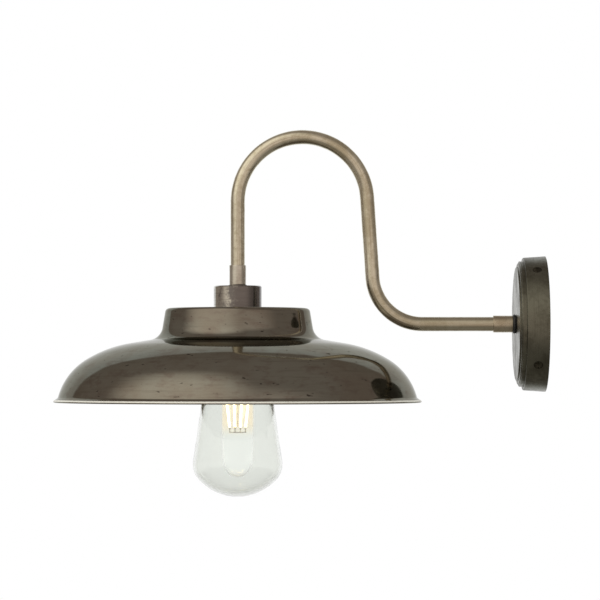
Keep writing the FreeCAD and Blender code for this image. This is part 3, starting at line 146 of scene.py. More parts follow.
def rounded(corners, steps=5, loop=True):
    """An outline of corners (a, b, r) with each corner rounded by a tangent arc of radius r.

    The arc touches both sides at r tan(turn / 2) from the corner.  One more point on each side, a little
    further out, keeps the flats flat under smooth shading.
    """
    corners = [np.array(c, float) for c in corners]
    count = len(corners)
    points = []
    for i, corner in enumerate(corners):
        here, radius = corner[:2], corner[2]
        if radius == 0 or (not loop and i in (0, count - 1)):
            points.append(here)
            continue
        back = corners[i - 1][:2] - here
        ahead = corners[(i + 1) % count][:2] - here
        back, ahead = back / np.linalg.norm(back), ahead / np.linalg.norm(ahead)
        half = math.acos(np.clip(back @ ahead, -1, 1)) / 2
        reach = radius / math.tan(half)
        share = np.linspace(-1, 1, steps + 1)
        middle = here + (back + ahead) / np.linalg.norm(back + ahead) * radius / math.sin(half)
        first, last = here + back * reach - middle, here + ahead * reach - middle
        spread = math.pi - 2 * half
        weights = [np.sin((1 - share) / 2 * spread), np.sin((1 + share) / 2 * spread)]
        bend = (weights[0][:, None] * first + weights[1][:, None] * last) / math.sin(spread)
        points.append(here + back * (reach + KEEP_FLAT * radius))
        points.extend(middle + bend)
        points.append(here + ahead * (reach + KEEP_FLAT * radius))
    return np.array(points)


# ------------------------------------------------------------------ paint

class Wire:
    """A socket of a shader tree that Python's operators work on: each adds a Math node."""

    def __init__(self, tree, socket=None):
        self.tree, self.socket = tree, socket

    def node(self, kind, settings=None, values=None, out=0):
        """Add a node: its settings first, then the value or link of each socket; returns one output."""
        made = self.tree.nodes.new("ShaderNode" + kind)
        for key, value in (settings or {}).items():
            setattr(made, key, value)
        for key, value in (values or {}).items():
            if isinstance(value, Wire):
                self.tree.links.new(value.socket, made.inputs[key])
            else:
                made.inputs[key].default_value = value
        return Wire(self.tree, made.outputs[out])

    def math(self, operation, *terms):
        return self.node("Math", {"operation": operation}, dict(enumerate(terms)))

    def __add__(self, other):
        return self.math("ADD", self, other)

    def __sub__(self, other):
        return self.math("SUBTRACT", self, other)

    def __rsub__(self, other):
        return self.math("SUBTRACT", other, self)

    def __mul__(self, other):
        return self.math("MULTIPLY", self, other)

    __radd__, __rmul__ = __add__, __mul__

    def between(self, low, high):
        """0 below low, 1 above high, and a smooth step between them."""
        return self.node("MapRange", {"interpolation_type": "SMOOTHSTEP"},
                         {"Value": self, "From Min": low, "From Max": high})

    def mix(self, first, second):
        """The first colour where this is 0 and the second where it is 1."""
        return self.node("Mix", {"data_type": "RGBA"}, {0: self, 6: first, 7: second}, 2)

    def spots(self, scale, detail=3.0, rough=0.5):
        """Noise over this vector, from 0 to 1."""
        return self.node("TexNoise", None,
                         {"Vector": self, "Scale": scale, "Detail": detail, "Roughness": rough})

    def stretched(self, x, y, z):
        """This vector with each axis scaled, for noise with so many features to the metre along it."""
        return self.node("VectorMath", {"operation": "MULTIPLY"}, {0: self, 1: (x, y, z)})

    def relief(self, distance):
        """A bumped normal from this height, where 1 stands distance metres high."""
        return self.node("Bump", None, {"Height": self, "Distance": distance, "Strength": 1.0})


def paint(name, varying, uniform=None):
    """A Principled material: uniform is set on its sockets, and varying(wire) gives the linked ones."""
    made = bpy.data.materials.new(name)
    made.use_nodes = True
    shader = made.node_tree.nodes["Principled BSDF"]
    for key, value in (uniform or {}).items():
        shader.inputs[key].default_value = value
    for key, value in varying(Wire(made.node_tree)).items():
        made.node_tree.links.new(value.socket, shader.inputs[key])
    return made


def colour(r, g, b):
    return (r, g, b, 1.0)


def dimmed(tint, share):
    """The same colour at a share of its light."""
    return colour(*(value * share for value in tint[:3]))


def object_place(wire):
    return wire.node("TexCoord", out="Object")


def worn_metal(name, pale, dark, rough, patch, grain, depth, cover):
    """Lacquered old metal: clouds of darker patina, fine tool marks and small pits.

    pale and dark are the two tints, rough the mean roughness, patch the number of clouds per metre, grain
    that of the tool marks on each axis, depth their height in metres, and cover the share of dark patina.
    """
    def varying(wire):
        at = object_place(wire)
        clouds = at.spots(patch, 5.0, 0.62)
        fine = at.spots(patch * 9, 3.0, 0.6)
        marks = at.stretched(*grain).spots(1.0, 3.0, 0.65)
        middle = 0.62 - 0.24 * cover
        patina = (clouds * 0.75 + fine * 0.25).between(middle - 0.12, middle + 0.12)
        tint = patina.mix(pale, dark)
        shaded = (marks * 0.35 + 0.1).mix(tint, dimmed(dark, 0.55))
        pits = at.spots(patch * 40, 2.0, 0.5).between(0.72, 0.8)
        return {
            "Base Color": pits.mix(shaded, dimmed(dark, 0.3)),
            "Roughness": patina * 0.1 + (marks - 0.5) * 0.12 + rough,
            "Normal": (marks - pits * 0.6).relief(depth),
        }
    return paint(name, varying, {"Metallic": 1.0})


def plain_finish(name, tint, deep, rough, scale, depth, uniform=None):
    """A non-metal or plated finish: a faint mottle of two tints, with a moulded or cast texture."""
    def varying(wire):
        at = object_place(wire)
        mottle = at.spots(scale, 4.0)
        grain = at.spots(scale * 12, 2.0)
        return {
            "Base Color": mottle.between(0.35, 0.65).mix(tint, deep),
            "Roughness": (mottle - 0.5) * 0.15 + rough,
            "Normal": grain.relief(depth),
        }
    return paint(name, varying, uniform)


def clear_glass(name, tint, ripple):
    """Clear glass with a faint ripple from its blowing and a little dust that dulls it."""
    def varying(wire):
        at = object_place(wire)
        waves = at.stretched(18.0, 18.0, 60.0).spots(1.0, 2.0)
        dust = at.spots(900.0, 2.0).between(0.68, 0.85)
        return {"Roughness": dust * 0.06, "Normal": waves.relief(ripple)}
    return paint(name, varying, {"Base Color": tint, "Transmission Weight": 1.0, "IOR": 1.47})


def glowing_rod():
    """The coating of a lit filament: a warm glow, mottled by its beads."""
    def varying(wire):
        beads = object_place(wire).spots(1400.0, 1.0)
        return {"Emission Color": beads.mix(colour(1.0, 0.74, 0.38), colour(1.0, 0.86, 0.56)),
                "Base Color": beads.mix(colour(0.5, 0.33, 0.1), colour(0.55, 0.4, 0.15))}
    return paint("glowing_filament", varying, {"Emission Strength": 6.0, "Roughness": 0.6})


def drawn_brass():
    """Drawn and bent brass tube: fine lines along its length, clouds of patina, and darker by the wall."""
    def varying(wire):
        at = object_place(wire)
        along = wire.node("Attribute", {"attribute_name": "along"}, out="Vector")
        lines = along.stretched(26.0, 1100.0, 1100.0).spots(1.0, 2.0, 0.5)
        clouds = at.spots(24.0, 5.0, 0.6)
        fine = at.spots(230.0, 4.0, 0.65)
        patina = (clouds * 0.6 + fine * 0.4).between(0.42, 0.6)
        tint = patina.mix(colour(0.95, 0.92, 0.80), colour(0.69, 0.64, 0.50))
        by_wall = 1 - along.node("SeparateXYZ", None, {"Vector": along}, 0).between(0.06, 0.14)
        tint = (by_wall * 0.55).mix(tint, colour(0.44, 0.41, 0.32))
        return {
            "Base Color": (lines.between(0.42, 0.75) * 0.6).mix(tint, colour(0.48, 0.41, 0.31)),
            "Roughness": patina * 0.08 + lines * 0.08 + 0.14,
            "Normal": (lines + fine * 0.5).relief(4e-6),
        }
    return paint("aged_brass", varying, {"Metallic": 1.0})


def stained_bronze():
    """Blotched bronze of the lampholder's cap: pale polished patches, purple stains, and painted shade that
    darkens its wall side.
    """
    def varying(wire):
        at = object_place(wire)
        across = at.node("SeparateXYZ", None, {"Vector": at}, 0)
        clouds = at.stretched(70.0, 70.0, 38.0).spots(1.0, 5.0, 0.6)
        fine = at.spots(420.0, 4.0, 0.6)
        lines = at.stretched(50.0, 50.0, 900.0).spots(1.0, 2.0, 0.5)
        # Painted shade: the side towards the wall, away from the key light, is darkened by raising the stain
        # mask there.
        painted_shade_wall_side = across.between(-0.286, -0.264)
        stain_and_painted_shade = (clouds * 0.75 + fine * 0.25 + painted_shade_wall_side * 0.2).between(0.47, 0.62)
        tint = stain_and_painted_shade.mix(colour(0.70, 0.68, 0.65), colour(0.25, 0.235, 0.24))
        return {
            "Base Color": (lines.between(0.45, 0.75) * 0.35).mix(tint, colour(0.16, 0.145, 0.145)),
            "Roughness": stain_and_painted_shade * 0.1 + lines * 0.06 + 0.07,
            "Normal": (lines + fine * 0.5).relief(4e-6),
        }
    return paint("dark_bronze", varying, {"Metallic": 1.0})


def cover_metal():
    """Oiled bronze of the wall cover: greenish grey, browner clouds, turned lines, and near black round the
    screws.

    The attribute along holds how much darker it is made here, round the screws.
    """
    def varying(wire):
        at = object_place(wire)
        clouds = at.spots(34.0, 5.0, 0.62)
        fine = at.spots(300.0, 3.0, 0.6)
        lines = at.stretched(1300.0, 40.0, 40.0).spots(1.0, 3.0, 0.6)
        patina = (clouds * 0.75 + fine * 0.25).between(0.4, 0.62)
        tint = patina.mix(colour(0.20, 0.202, 0.172), colour(0.12, 0.117, 0.095))
        tint = (lines.between(0.45, 0.8) * 0.4).mix(tint, colour(0.08, 0.078, 0.06))
        # Near black round the screws, as much as the along attribute says.
        dark_round_screws = wire.node("Attribute", {"attribute_name": "along"}, out="Fac")
        return {
            "Base Color": dark_round_screws.mix(tint, colour(0.02, 0.019, 0.015)),
            "Roughness": patina * 0.12 + lines * 0.1 + dark_round_screws * 0.2 + 0.22,
            "Normal": (lines + fine * 0.6).relief(2e-5),
        }
    return paint("cover_brass", varying, {"Metallic": 1.0})


def polished_bronze():
    """Polished spun bronze: a dark mirror with slow ripples round the axis, tarnish, specks and a painted
    highlight on the rim.

    The painted highlight is a pale band between two heights on the lip, in metres.
    """
    def varying(wire):
        at = object_place(wire)
        centred = at.node("VectorMath", {"operation": "SUBTRACT"}, {0: at, 1: (LAMP_X * 0.001, 0.0, 0.0)})
        spun = centred.stretched(7.0, 7.0, 55.0).spots(1.0, 2.0, 0.4)
        height = at.node("SeparateXYZ", None, {"Vector": at}, 2)
        clouds = at.spots(16.0, 5.0, 0.62)
        smears = at.stretched(60.0, 60.0, 150.0).spots(1.0, 4.0, 0.65)
        streaks = centred.stretched(26.0, 26.0, 640.0).spots(1.0, 3.0, 0.6)
        specks = at.stretched(150.0, 150.0, 420.0).spots(1.0, 2.0, 0.5).between(0.70, 0.74)
        tint = clouds.between(0.35, 0.66).mix(colour(0.335, 0.335, 0.31), colour(0.29, 0.265, 0.235))
        tint = (smears.between(0.48, 0.7) * 0.75).mix(tint, colour(0.25, 0.215, 0.195))
        tint = (streaks.between(0.5, 0.8) * 0.5).mix(tint, colour(0.2, 0.18, 0.155))
        tint = (specks * 0.85).mix(tint, colour(0.06, 0.05, 0.045))
        # Painted highlight: a pale, less metallic and rougher band on the lip stands in for the rim's bright
        # line.
        rim = (1 - height.between(-0.0673, -0.0667)) * height.between(-0.0686, -0.0682)
        return {
            "Base Color": rim.mix(tint, colour(0.76, 0.73, 0.64)),
            "Metallic": 1 - rim * 0.7,
            "Roughness": clouds * 0.05 + streaks * 0.05 + smears * 0.04 + rim * 0.2 + 0.01,
            "Normal": (spun + streaks * 0.004).relief(8e-4),
        }
    return paint("polished_bronze", varying, {"Specular Tint": colour(0.5, 0.5, 0.46)})


def bulb_glass():
    """Thin clear glass with painted light: a warm painted glow where the filaments light it, and a warm
    painted glint of their reflection low on its nose.

    Its index of refraction is low and it has a faint painted glow, so that its edges stay faint.
    """
    def varying(wire):
        at = object_place(wire)
        height = at.node("SeparateXYZ", None, {"Vector": at}, 2)
        waves = at.stretched(30.0, 30.0, 90.0).spots(1.0, 2.0)
        # Painted light: the warm band is a painted glow from the filaments, the warmer nose is a painted
        # glint of their reflection, and the faint emission all over is a painted glow too.
        warm = height.between(-0.102, -0.086)
        painted_nose_glint = 1 - height.between(-0.1364, -0.129)
        tint = painted_nose_glint.mix(colour(0.99, 0.99, 0.985), colour(0.98, 0.955, 0.92))
        return {"Base Color": warm.mix(tint, colour(1.0, 0.97, 0.9)),
                "Emission Color": warm.mix(colour(0.028, 0.03, 0.031), colour(0.055, 0.038, 0.02)),
                "Roughness": at.spots(900.0, 2.0).between(0.68, 0.85) * 0.05,
                "Normal": waves.relief(4e-5)}
    return paint("bulb_glass", varying, {"Transmission Weight": 1.0, "IOR": 1.22, "Emission Strength": 1.0})


# Each metal: its pale and dark tints, roughness, clouds per metre, tool marks per metre on each axis, their
# depth in metres and the share of dark patina.
METALS = {
    "ferrule_brass": ((0.97, 0.95, 0.90), (0.72, 0.68, 0.62), 0.13, 60.0, (60.0, 60.0, 1100.0), 4e-6, 0.35),
    "wall_ferrule_brass": ((0.78, 0.72, 0.60), (0.6, 0.52, 0.4), 0.22, 60.0, (1100.0, 60.0, 60.0), 4e-6, 0.4),
    "screw_brass": ((0.17, 0.165, 0.13), (0.05, 0.045, 0.035), 0.22, 260.0, (500.0, 500.0, 500.0), 3e-5, 0.5),
    "plain_brass": ((0.72, 0.56, 0.30), (0.5, 0.38, 0.2), 0.26, 60.0, (90.0, 90.0, 700.0), 3e-5, 0.3),
    "plated_steel": ((0.62, 0.62, 0.60), (0.42, 0.42, 0.4), 0.32, 50.0, (300.0, 300.0, 300.0), 3e-5, 0.3),
    "nickel_cap": ((0.72, 0.70, 0.66), (0.5, 0.48, 0.45), 0.2, 80.0, (60.0, 60.0, 400.0), 2e-5, 0.3),
    "tinned_tip": ((0.7, 0.7, 0.7), (0.45, 0.45, 0.46), 0.35, 200.0, (900.0, 900.0, 900.0), 5e-5, 0.4),
}

# Each plain finish: its two tints, roughness, mottle per metre, the depth of its grain in metres, and for
# porcelain its glaze.
FINISHES = {
    "black_rubber": ((0.018, 0.018, 0.017), (0.03, 0.029, 0.027), 0.55, 70.0, 4e-5),
    "foam_rubber": ((0.05, 0.05, 0.05), (0.03, 0.03, 0.03), 0.9, 220.0, 3e-4),
    "white_plastic": ((0.8, 0.79, 0.76), (0.72, 0.71, 0.67), 0.45, 60.0, 3e-5),
    "black_plastic": ((0.02, 0.02, 0.021), (0.032, 0.031, 0.03), 0.32, 60.0, 3e-5),
    "white_porcelain": ((0.82, 0.81, 0.78), (0.76, 0.74, 0.7), 0.2, 40.0, 2e-5, {"Coat Weight": 0.5}),
    "black_glass": ((0.012, 0.012, 0.014), (0.02, 0.02, 0.025), 0.08, 50.0, 2e-5),
    "circuit_board": ((0.03, 0.16, 0.06), (0.02, 0.1, 0.04), 0.35, 160.0, 3e-5),
    "earth_insulation": ((0.09, 0.35, 0.06), (0.65, 0.6, 0.05), 0.4, 120.0, 2e-5),
    "live_insulation": ((0.16, 0.06, 0.025), (0.2, 0.08, 0.03), 0.4, 120.0, 2e-5),
    "neutral_insulation": ((0.02, 0.12, 0.38), (0.03, 0.16, 0.45), 0.4, 120.0, 2e-5),
}

paints = {
    "aged_brass": drawn_brass(),
    "cover_brass": cover_metal(),
    "dark_bronze": stained_bronze(),
    "polished_bronze": polished_bronze(),
    "clear_glass": clear_glass("clear_glass", colour(0.90, 0.915, 0.885), 1.2e-4),
    "bulb_glass": bulb_glass(),
    "stem_glass": clear_glass("stem_glass", colour(0.97, 0.97, 0.95), 1e-4),
    "glowing_filament": glowing_rod(),
}
for name, (pale, dark, *others) in METALS.items():
    paints[name] = worn_metal(name, colour(*pale), colour(*dark), *others)
for name, (tint, deep, *others) in FINISHES.items():
    paints[name] = plain_finish(name, colour(*tint), colour(*deep), *others)


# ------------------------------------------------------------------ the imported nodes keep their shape

for part in frame["record"]["subparts"]:
    node = frame["nodes"][part["node"]]
    node.data.materials.clear()
    node.data.materials.append(paints[part["material_slot"]])


# ------------------------------------------------------------------ arm

def swept_grid(path, radius, across, columns):
    """Rings round a flat path: centre + radius (cos a * sideways + sin a * across).

    sideways is the path's direction crossed with across, the normal of the plane that the path lies in.
    """
    path, across = np.asarray(path, float), np.asarray(across, float)
    direction = np.gradient(path, axis=0)
    direction /= np.linalg.norm(direction, axis=1)[:, None]
    sideways = np.cross(direction, across)
    angle = full_turn(columns)
    radius = np.broadcast_to(radius, len(path))[:, None, None]
    ring = np.cos(angle)[None, :, None] * sideways[:, None, :] + np.sin(angle)[None, :, None] * across
    return path[:, None, :] + radius * ring


def run(start, end, step):
    """Points on a straight run, without its end."""
    start, end = np.asarray(start, float), np.asarray(end, float)
    count = max(2, int(np.ceil(np.linalg.norm(end - start) / step)))
    share = np.arange(count)[:, None] / count
    return start + (end - start) * share


TUBE, TUBE_WALL = 6.335, 1.2              # the tube's radius and wall
LOW_BEND, HIGH_BEND = 44.3, 57.4          # the bends' radii, on the middle line
SLANT = 3.8                               # how far the leg between them leans, in degrees
LOW_CENTRE_X, HIGH_CENTRE_Z = -108.6, 108.40
WALL_END_X, LAMP_END_Z = -36.0, 42.2      # the tube's ends, inside the ferrules
STEP = 3.0                                # between the rings of its straight runs


def gooseneck():
    """The tube: level out of the wall, a low bend up, a leaning leg, a high bend over, and down to the lamp.

    Its attribute along is the way along the tube and the place round it, in metres.
    """
    low = (LOW_CENTRE_X, LOW_BEND)
    high = (LAMP_X + HIGH_BEND, HIGH_CENTRE_Z)
    low_arc = arc(low, LOW_BEND, 270, 180 + SLANT, 60)
    high_arc = arc(high, HIGH_BEND, SLANT, 180, 150)
    flat = np.concatenate([
        run((WALL_END_X, 0.0), low_arc[0], STEP), low_arc[:-1], run(low_arc[-1], high_arc[0], STEP),
        high_arc[:-1], run(high_arc[-1], (LAMP_X, LAMP_END_Z), STEP), [(LAMP_X, LAMP_END_Z)]])
    path = np.stack([flat[:, 0], 0 * flat[:, 0], flat[:, 1]], -1)
    columns = 72
    outside = swept_grid(path, TUBE, (0, 1, 0), columns)
    inside = swept_grid(path, TUBE - TUBE_WALL, (0, 1, 0), columns)[::-1]
    steps = np.linalg.norm(np.diff(path, axis=0), axis=1)
    length = np.concatenate([[0], np.cumsum(steps)])
    angle = full_turn(columns)
    along = np.zeros((len(path), columns, 3))
    along[:, :, 0] = length[:, None] * 0.001
    along[:, :, 1] = np.cos(angle) * TUBE * 0.001
    along[:, :, 2] = np.sin(angle) * TUBE * 0.001
    return mesh_piece("gooseneck_skin", np.concatenate([outside, inside]).reshape(-1, 3),
                      quads(2 * len(path), columns, True), "fixture", "gooseneck_tube",
                      paints["aged_brass"], np.concatenate([along, along[::-1]]).reshape(-1, 3))


gooseneck()

# The turned pieces of the arm: corners (radius, height along the axis, rounding).
LAMP_FERRULE_Z, WALL_FERRULE_X = 34.7, -28.5
ferrule = [(5.05, 0, 0.1), (7.5, 0, 0.55), (7.5, 17.5, 0.6), (6.4, 17.5, 0.15), (6.4, 7.5, 0), (5.05, 7.5, 0)]
seal = [(5.2, -25.8, 0.2), (8.45, -25.8, 1.2), (8.45, -28.5, 1.2), (5.2, -28.5, 0.2)]
washer = [(5.2, 33.8, 0.1), (8.2, 33.8, 0.2), (8.2, 34.7, 0.3), (5.2, 34.7, 0.1)]
cap = [(5.2, 30.8, 0.2), (19.2, 30.8, 1.5), (19.2, 14.0, 0.2), (21.2, 14.0, 0.25), (21.2, 32.9, 0.25),
       (20.3, 33.8, 0.25), (5.2, 33.8, 0.15)]
turned("lamp_ferrule_skin", rounded([(r, LAMP_FERRULE_Z + h, c) for r, h, c in ferrule]), 96, "fixture",
       "lamp_ferrule", paints["ferrule_brass"])
turned("wall_ferrule_skin", rounded([(r, WALL_FERRULE_X - h, c) for r, h, c in ferrule]), 96, "fixture",
       "wall_ferrule", paints["wall_ferrule_brass"], axis="x", centre=(0, 0, 0))
turned("arm_seal_skin", rounded(seal), 96, "fixture", "arm_seal_ring", paints["black_rubber"],
       axis="x", centre=(0, 0, 0))
turned("cap_washer_skin", rounded(washer), 96, "fixture", "cap_washer", paints["dark_bronze"])
turned("holder_cap_skin", rounded(cap), 144, "fixture", "holder_cap", paints["dark_bronze"])


# ------------------------------------------------------------------ shade

SHADE_TOP, SHEET = 14.0, 1.2              # the height of the flat top, and the sheet's thickness
EDGE_R, HOLLOW_R = 3.6, 13.0              # radii of the outline's arcs, from the top to the lip
CROWN_R, SIDE_R, BEAD_R = 107.6, 55.8, 0.95


def shade_outline(sheet):
    """One face of the spun sheet, from its hole to the end of its side, sheet millimetres under the outside.

    The slope of each part in degrees: a flat top, a rolled edge up to 80.5, the collar's side, a hollow back
    to 9.3, the shoulder, a wide arc to 31.7 and the arc of the side to 75.5.
    """
    top = SHADE_TOP
    side, crown = (104.7, top - 93.0), (77.481, top - 137.072)
    hollow, edge = (79.422, top - 15.183), (60.652, top - EDGE_R)
    return np.concatenate([
        run((19.4, top - sheet), (edge[0], top - sheet), 8.0),
        arc(edge, EDGE_R - sheet, 90, 9.5, 14),
        arc(hollow, HOLLOW_R + sheet, 189.5, 260.7, 26),
        arc(crown, CROWN_R - sheet, 80.7, 58.3, 30)[:-1],
        arc(side, SIDE_R - sheet, 58.3, 14.5, 46)])


def with_middles(points, long, step):
    """The same outline with more points on every stretch that is longer than long."""
    points = np.asarray(points, float)
    parts = []
    for a, b in zip(points[:-1], points[1:]):
        parts.append(run(a, b, step) if np.linalg.norm(b - a) > long else a[None, :])
    return np.concatenate(parts + [points[-1:]])


def spun_shade():
    """The shade: both faces of the sheet, joined by the flared lip and its rolled edge."""
    outer, inner = (with_middles(shade_outline(sheet), 4.0, 2.5) for sheet in (0.0, SHEET))
    bead = (161.85, SHADE_TOP - 82.55)
    flare = rounded([(157.9, -61.9, 0), (158.72, -65.03, 2.4), (162.42, -67.79, 0)], 8, loop=False)[1:-1]
    lip = np.concatenate([flare, arc(bead, BEAD_R, 53.3, -90, 14)])
    under = rounded([(160.9, -69.5, 0), (157.54, -65.33, 2.4), (156.9, -62.9, 0)], 6, loop=False)[:-1]
    edge = np.concatenate([lip, under])
    keep_outer = outer[outer[:, 1] > flare[0, 1] + 0.4]
    keep_inner = inner[inner[:, 1] > under[-1, 1] + 0.4]
    outline = np.concatenate([keep_outer, edge, keep_inner[::-1]])
    return turned("spun_shade", outline, 256, "fixture", "shade",
                  paints["polished_bronze"])


spun_shade()


# ------------------------------------------------------------------ wall cover

SCREW_X, SCREW_TURN = -9.6, 37.8          # the screws' place on the rim, and the first one's turn in degrees
RIM_R, RIM_SLOPE = 60.0, 0.0667           # the rim's radius at the wall, and how it narrows away from it
SCREW_R = 59.36                           # the rim's radius at the screws
STEP_R, STEP_X, WIDENS = 56.2, 17.3, 1.3  # the rim's inner radius at the step, its depth, and how it widens
# The radii of the rings of grid points round a screw.
RINGS = np.array([0, 0.8, 1.5, 1.9, 2.2, 3.0, 3.55, 3.8, 4.0, 4.4, 4.9, 5.6, 6.3, 7.0])
HOLE_RING, ROUND_RINGS = 4, 9             # the ring at the hole's edge, and the last that stays round
SINK_R, SINK_DEPTH = 3.8, 1.62            # the countersink
DARK_R, DARK_EDGE = 4.3, 0.6            # the darker ring round a screw, and how far its edge fades


def rim_outside(x):
    """The rim's radius at x, a straight line."""
    return RIM_R + RIM_SLOPE * x


def rim_inside(x):
    """The radius of the rim's inner face at x, a straight line from the step to the wall."""
    return STEP_R + (x + STEP_X) * WIDENS / STEP_X


def wall_cover():
    """The stepped cover: its outline goes round the arm's axis, with four countersunk holes in the rim.

    Round each hole a square block of the grid is pulled into rings: a grid point on the square ring m goes to
    the angle that its place along the square gives, at the ring's radius, and the outer rings blend back to
    the square.  The sheet sinks by SINK_R minus the radius inside the countersink, and the blocks of the
    outside and of the inside are joined where the screw goes through.
    """
    reach = len(RINGS) - 1
    offsets = np.concatenate([-RINGS[:0:-1], RINGS])
    rim_steps = SCREW_X + offsets[::-1]
    outside = np.concatenate([
        rounded([(0.0, 57.5, 0), (0.0, 60.0, 0.2), (-2.0, 59.87, 0)], 3, False)[1:-1],
        np.stack([rim_steps, rim_outside(rim_steps)], -1),
        rounded([(-17.5, 58.83, 0), (-19.8, 58.68, 0.8), (-19.8, 55.5, 0.2), (-23.1, 55.5, 0.12),
                 (-23.1, 54.2, 0)], 6, False)[1:],
        arc((-23.1, 52.9), 1.3, 90, 180, 9)[1:],
        rounded([(-24.4, 52.0, 0), (-24.4, 50.4, 0.2), (-25.15, 50.4, 0)], 3, False)[1:],
        arc((-25.15, 49.75), 0.65, 90, 180, 5)[1:],
        np.stack([np.full(8, -25.8), np.linspace(46, 7.0, 8)], -1),
        rounded([(-25.8, 6.5, 0), (-25.8, 5.2, 0.15), (-23.3, 5.2, 0.15), (-23.3, 7.0, 0)], 3, False)[1:-1]])
    inner_rim = SCREW_X + offsets
    inside = np.concatenate([
        [(-23.3, 20.0)],
        rounded([(-23.3, 36.0, 0), (-23.3, 47.9, 1.0), (-STEP_X, STEP_R, 0.4), (-17.0, 56.22, 0)],
                4, False)[1:-1],
        np.stack([inner_rim, rim_inside(inner_rim)], -1), [(0.0, 57.5)]])
    outline = np.concatenate([outside, inside])
    starts = [int(np.argmin(np.abs(part[:, 0] - (SCREW_X + sign * RINGS[-1])) + (part[:, 1] < 55))) + first
              for part, sign, first in ((outside, 1, 0), (inside, -1, len(outside)))]
    arc_length = TURN / 4 * SCREW_R
    gap = np.linspace(RINGS[-1], arc_length - RINGS[-1], 28)[1:-1]
    quarter = np.concatenate([offsets, gap]) / SCREW_R
    angle = np.concatenate([quarter + i * TURN / 4 for i in range(4)]) + math.radians(SCREW_TURN)
    rows, columns = len(outline), len(angle)
    x = np.repeat(outline[:, :1], columns, 1)
    radius = np.repeat(outline[:, 1:], columns, 1)
    turn = np.repeat(angle[None, :], rows, 0)
    step = np.arange(-reach, reach + 1)
    down, over = np.meshgrid(step, step, indexing="ij")
    ring = np.maximum(np.abs(down), np.abs(over))
    side = np.where(np.abs(down) >= np.abs(over), over / np.maximum(ring, 1), down / np.maximum(ring, 1))
    eighths = np.where(np.abs(down) >= np.abs(over),
                       np.where(down >= 0, side, 4 - side), np.where(over >= 0, 2 - side, side - 2))
    round_angle = eighths * TURN / 8
    circle = np.stack([RINGS[ring] * np.cos(round_angle), RINGS[ring] * np.sin(round_angle)], -1)
    square = np.stack([np.sign(down) * RINGS[np.abs(down)], np.sign(over) * RINGS[np.abs(over)]], -1)
    blend = np.clip((ring - ROUND_RINGS) / (reach - ROUND_RINGS), 0, 1)[:, :, None]
    place = circle * (1 - blend) + square * blend
    away = np.hypot(place[:, :, 0], place[:, :, 1])
    low, high = reach - HOLE_RING, reach + HOLE_RING
    edge = ([(low, k) for k in range(low, high)] + [(k, high) for k in range(low, high)]
            + [(high, k) for k in range(high, low, -1)] + [(k, low) for k in range(high, low, -1)])
    skip = np.zeros((rows, columns), bool)
    dark_round_screws = np.zeros((rows, columns))
    hole_rings = []
    for face, start in enumerate(starts):
        sign = -1 if face == 0 else 1
        loops = []
        for i in range(4):
            left = i * len(quarter)
            block = (slice(start, start + 2 * reach + 1), slice(left, left + 2 * reach + 1))
            x[block] = SCREW_X + sign * place[:, :, 0]
            turn[block] = turn[start, left + reach] + place[:, :, 1] / SCREW_R
            line = rim_outside(x[block]) if face == 0 else rim_inside(x[block])
            sink = np.clip(SINK_R - away, 0, SINK_DEPTH) if face == 0 else 0
            radius[block] = line - sink
            # How much darker each point round the screw is made.
            dark_round_screws[block] = np.clip(DARK_R - away, 0, DARK_EDGE) / DARK_EDGE
            skip[start + low:start + high, left + low:left + high] = True
            loops.append([(start + a) * columns + left + b for a, b in edge])
        hole_rings.append(loops)
    vertices = np.stack([x, -radius * np.sin(turn), radius * np.cos(turn)], -1).reshape(-1, 3)
    grid_faces = quads(rows, columns, True)
    faces = [face for face, gone in zip(grid_faces, skip.ravel()) if not gone]
    for outer_loop, inner_loop in zip(*hole_rings):
        inner_loop = matched(vertices, outer_loop, inner_loop)
        count = len(outer_loop)
        faces += [(outer_loop[i], inner_loop[i], inner_loop[(i + 1) % count], outer_loop[(i + 1) % count])
                  for i in range(count)]
    return mesh_piece("wall_cover_skin", vertices, faces, "fixture", "wall_cover",
                      paints["cover_brass"], np.repeat(dark_round_screws.reshape(-1, 1), 3, 1))


def matched(vertices, outer_loop, inner_loop):
    """The inner loop, started and turned so that each point lies under its outer one."""
    count = len(outer_loop)
    choices = [np.roll(order, -s) for order in (inner_loop, inner_loop[::-1]) for s in range(count)]
    gaps = [np.linalg.norm(vertices[c] - vertices[outer_loop], axis=1).sum() for c in choices]
    return choices[int(np.argmin(gaps))].tolist()


wall_cover()


# ------------------------------------------------------------------ well glass

def glass_outline():
    """The jar in section, outside up and inside down, both ends on the axis.

    It has a shallow dome, a round corner, a leaning side, a sloped shoulder and a straight neck.
    """
    outside = np.concatenate([
        arc((0, -106.3), 46.48, 270, 270 + 48.82, 34)[:-1],
        arc((20.7, -124.40), 19.0, -41.18, 8.2, 24),
        run((39.2, -119.6), (27.6, -39.1), 5.0),
        rounded([(27.6, -39.1, 0), (27.19, -36.2, 1.2), (26.2, -34.6, 0.8), (26.2, -31.0, 0)],
                5, False)[1:-1],
        [(26.2, -20.0)]])
    rim = rounded([(26.2, -14.0, 0), (26.2, -11.7, 1.1), (23.8, -11.7, 1.1), (23.8, -14.0, 0)],
                  6, False)[1:-1]
    inside = np.concatenate([
        [(23.8, -20.0)],
        rounded([(23.8, -26.0, 0), (23.8, -30.0, 2.5), (25.6, -40.0, 0)], 5, False)[1:-1],
        run((25.62, -41.0), (36.9, -119.4), 5.0),
        arc((20.7, -124.40), 16.6, 8.2, -41.18, 20),
        arc((0, -106.3), 44.1, 270 + 48.82, 270, 30)[1:]])
    return np.concatenate([outside, rim, inside])


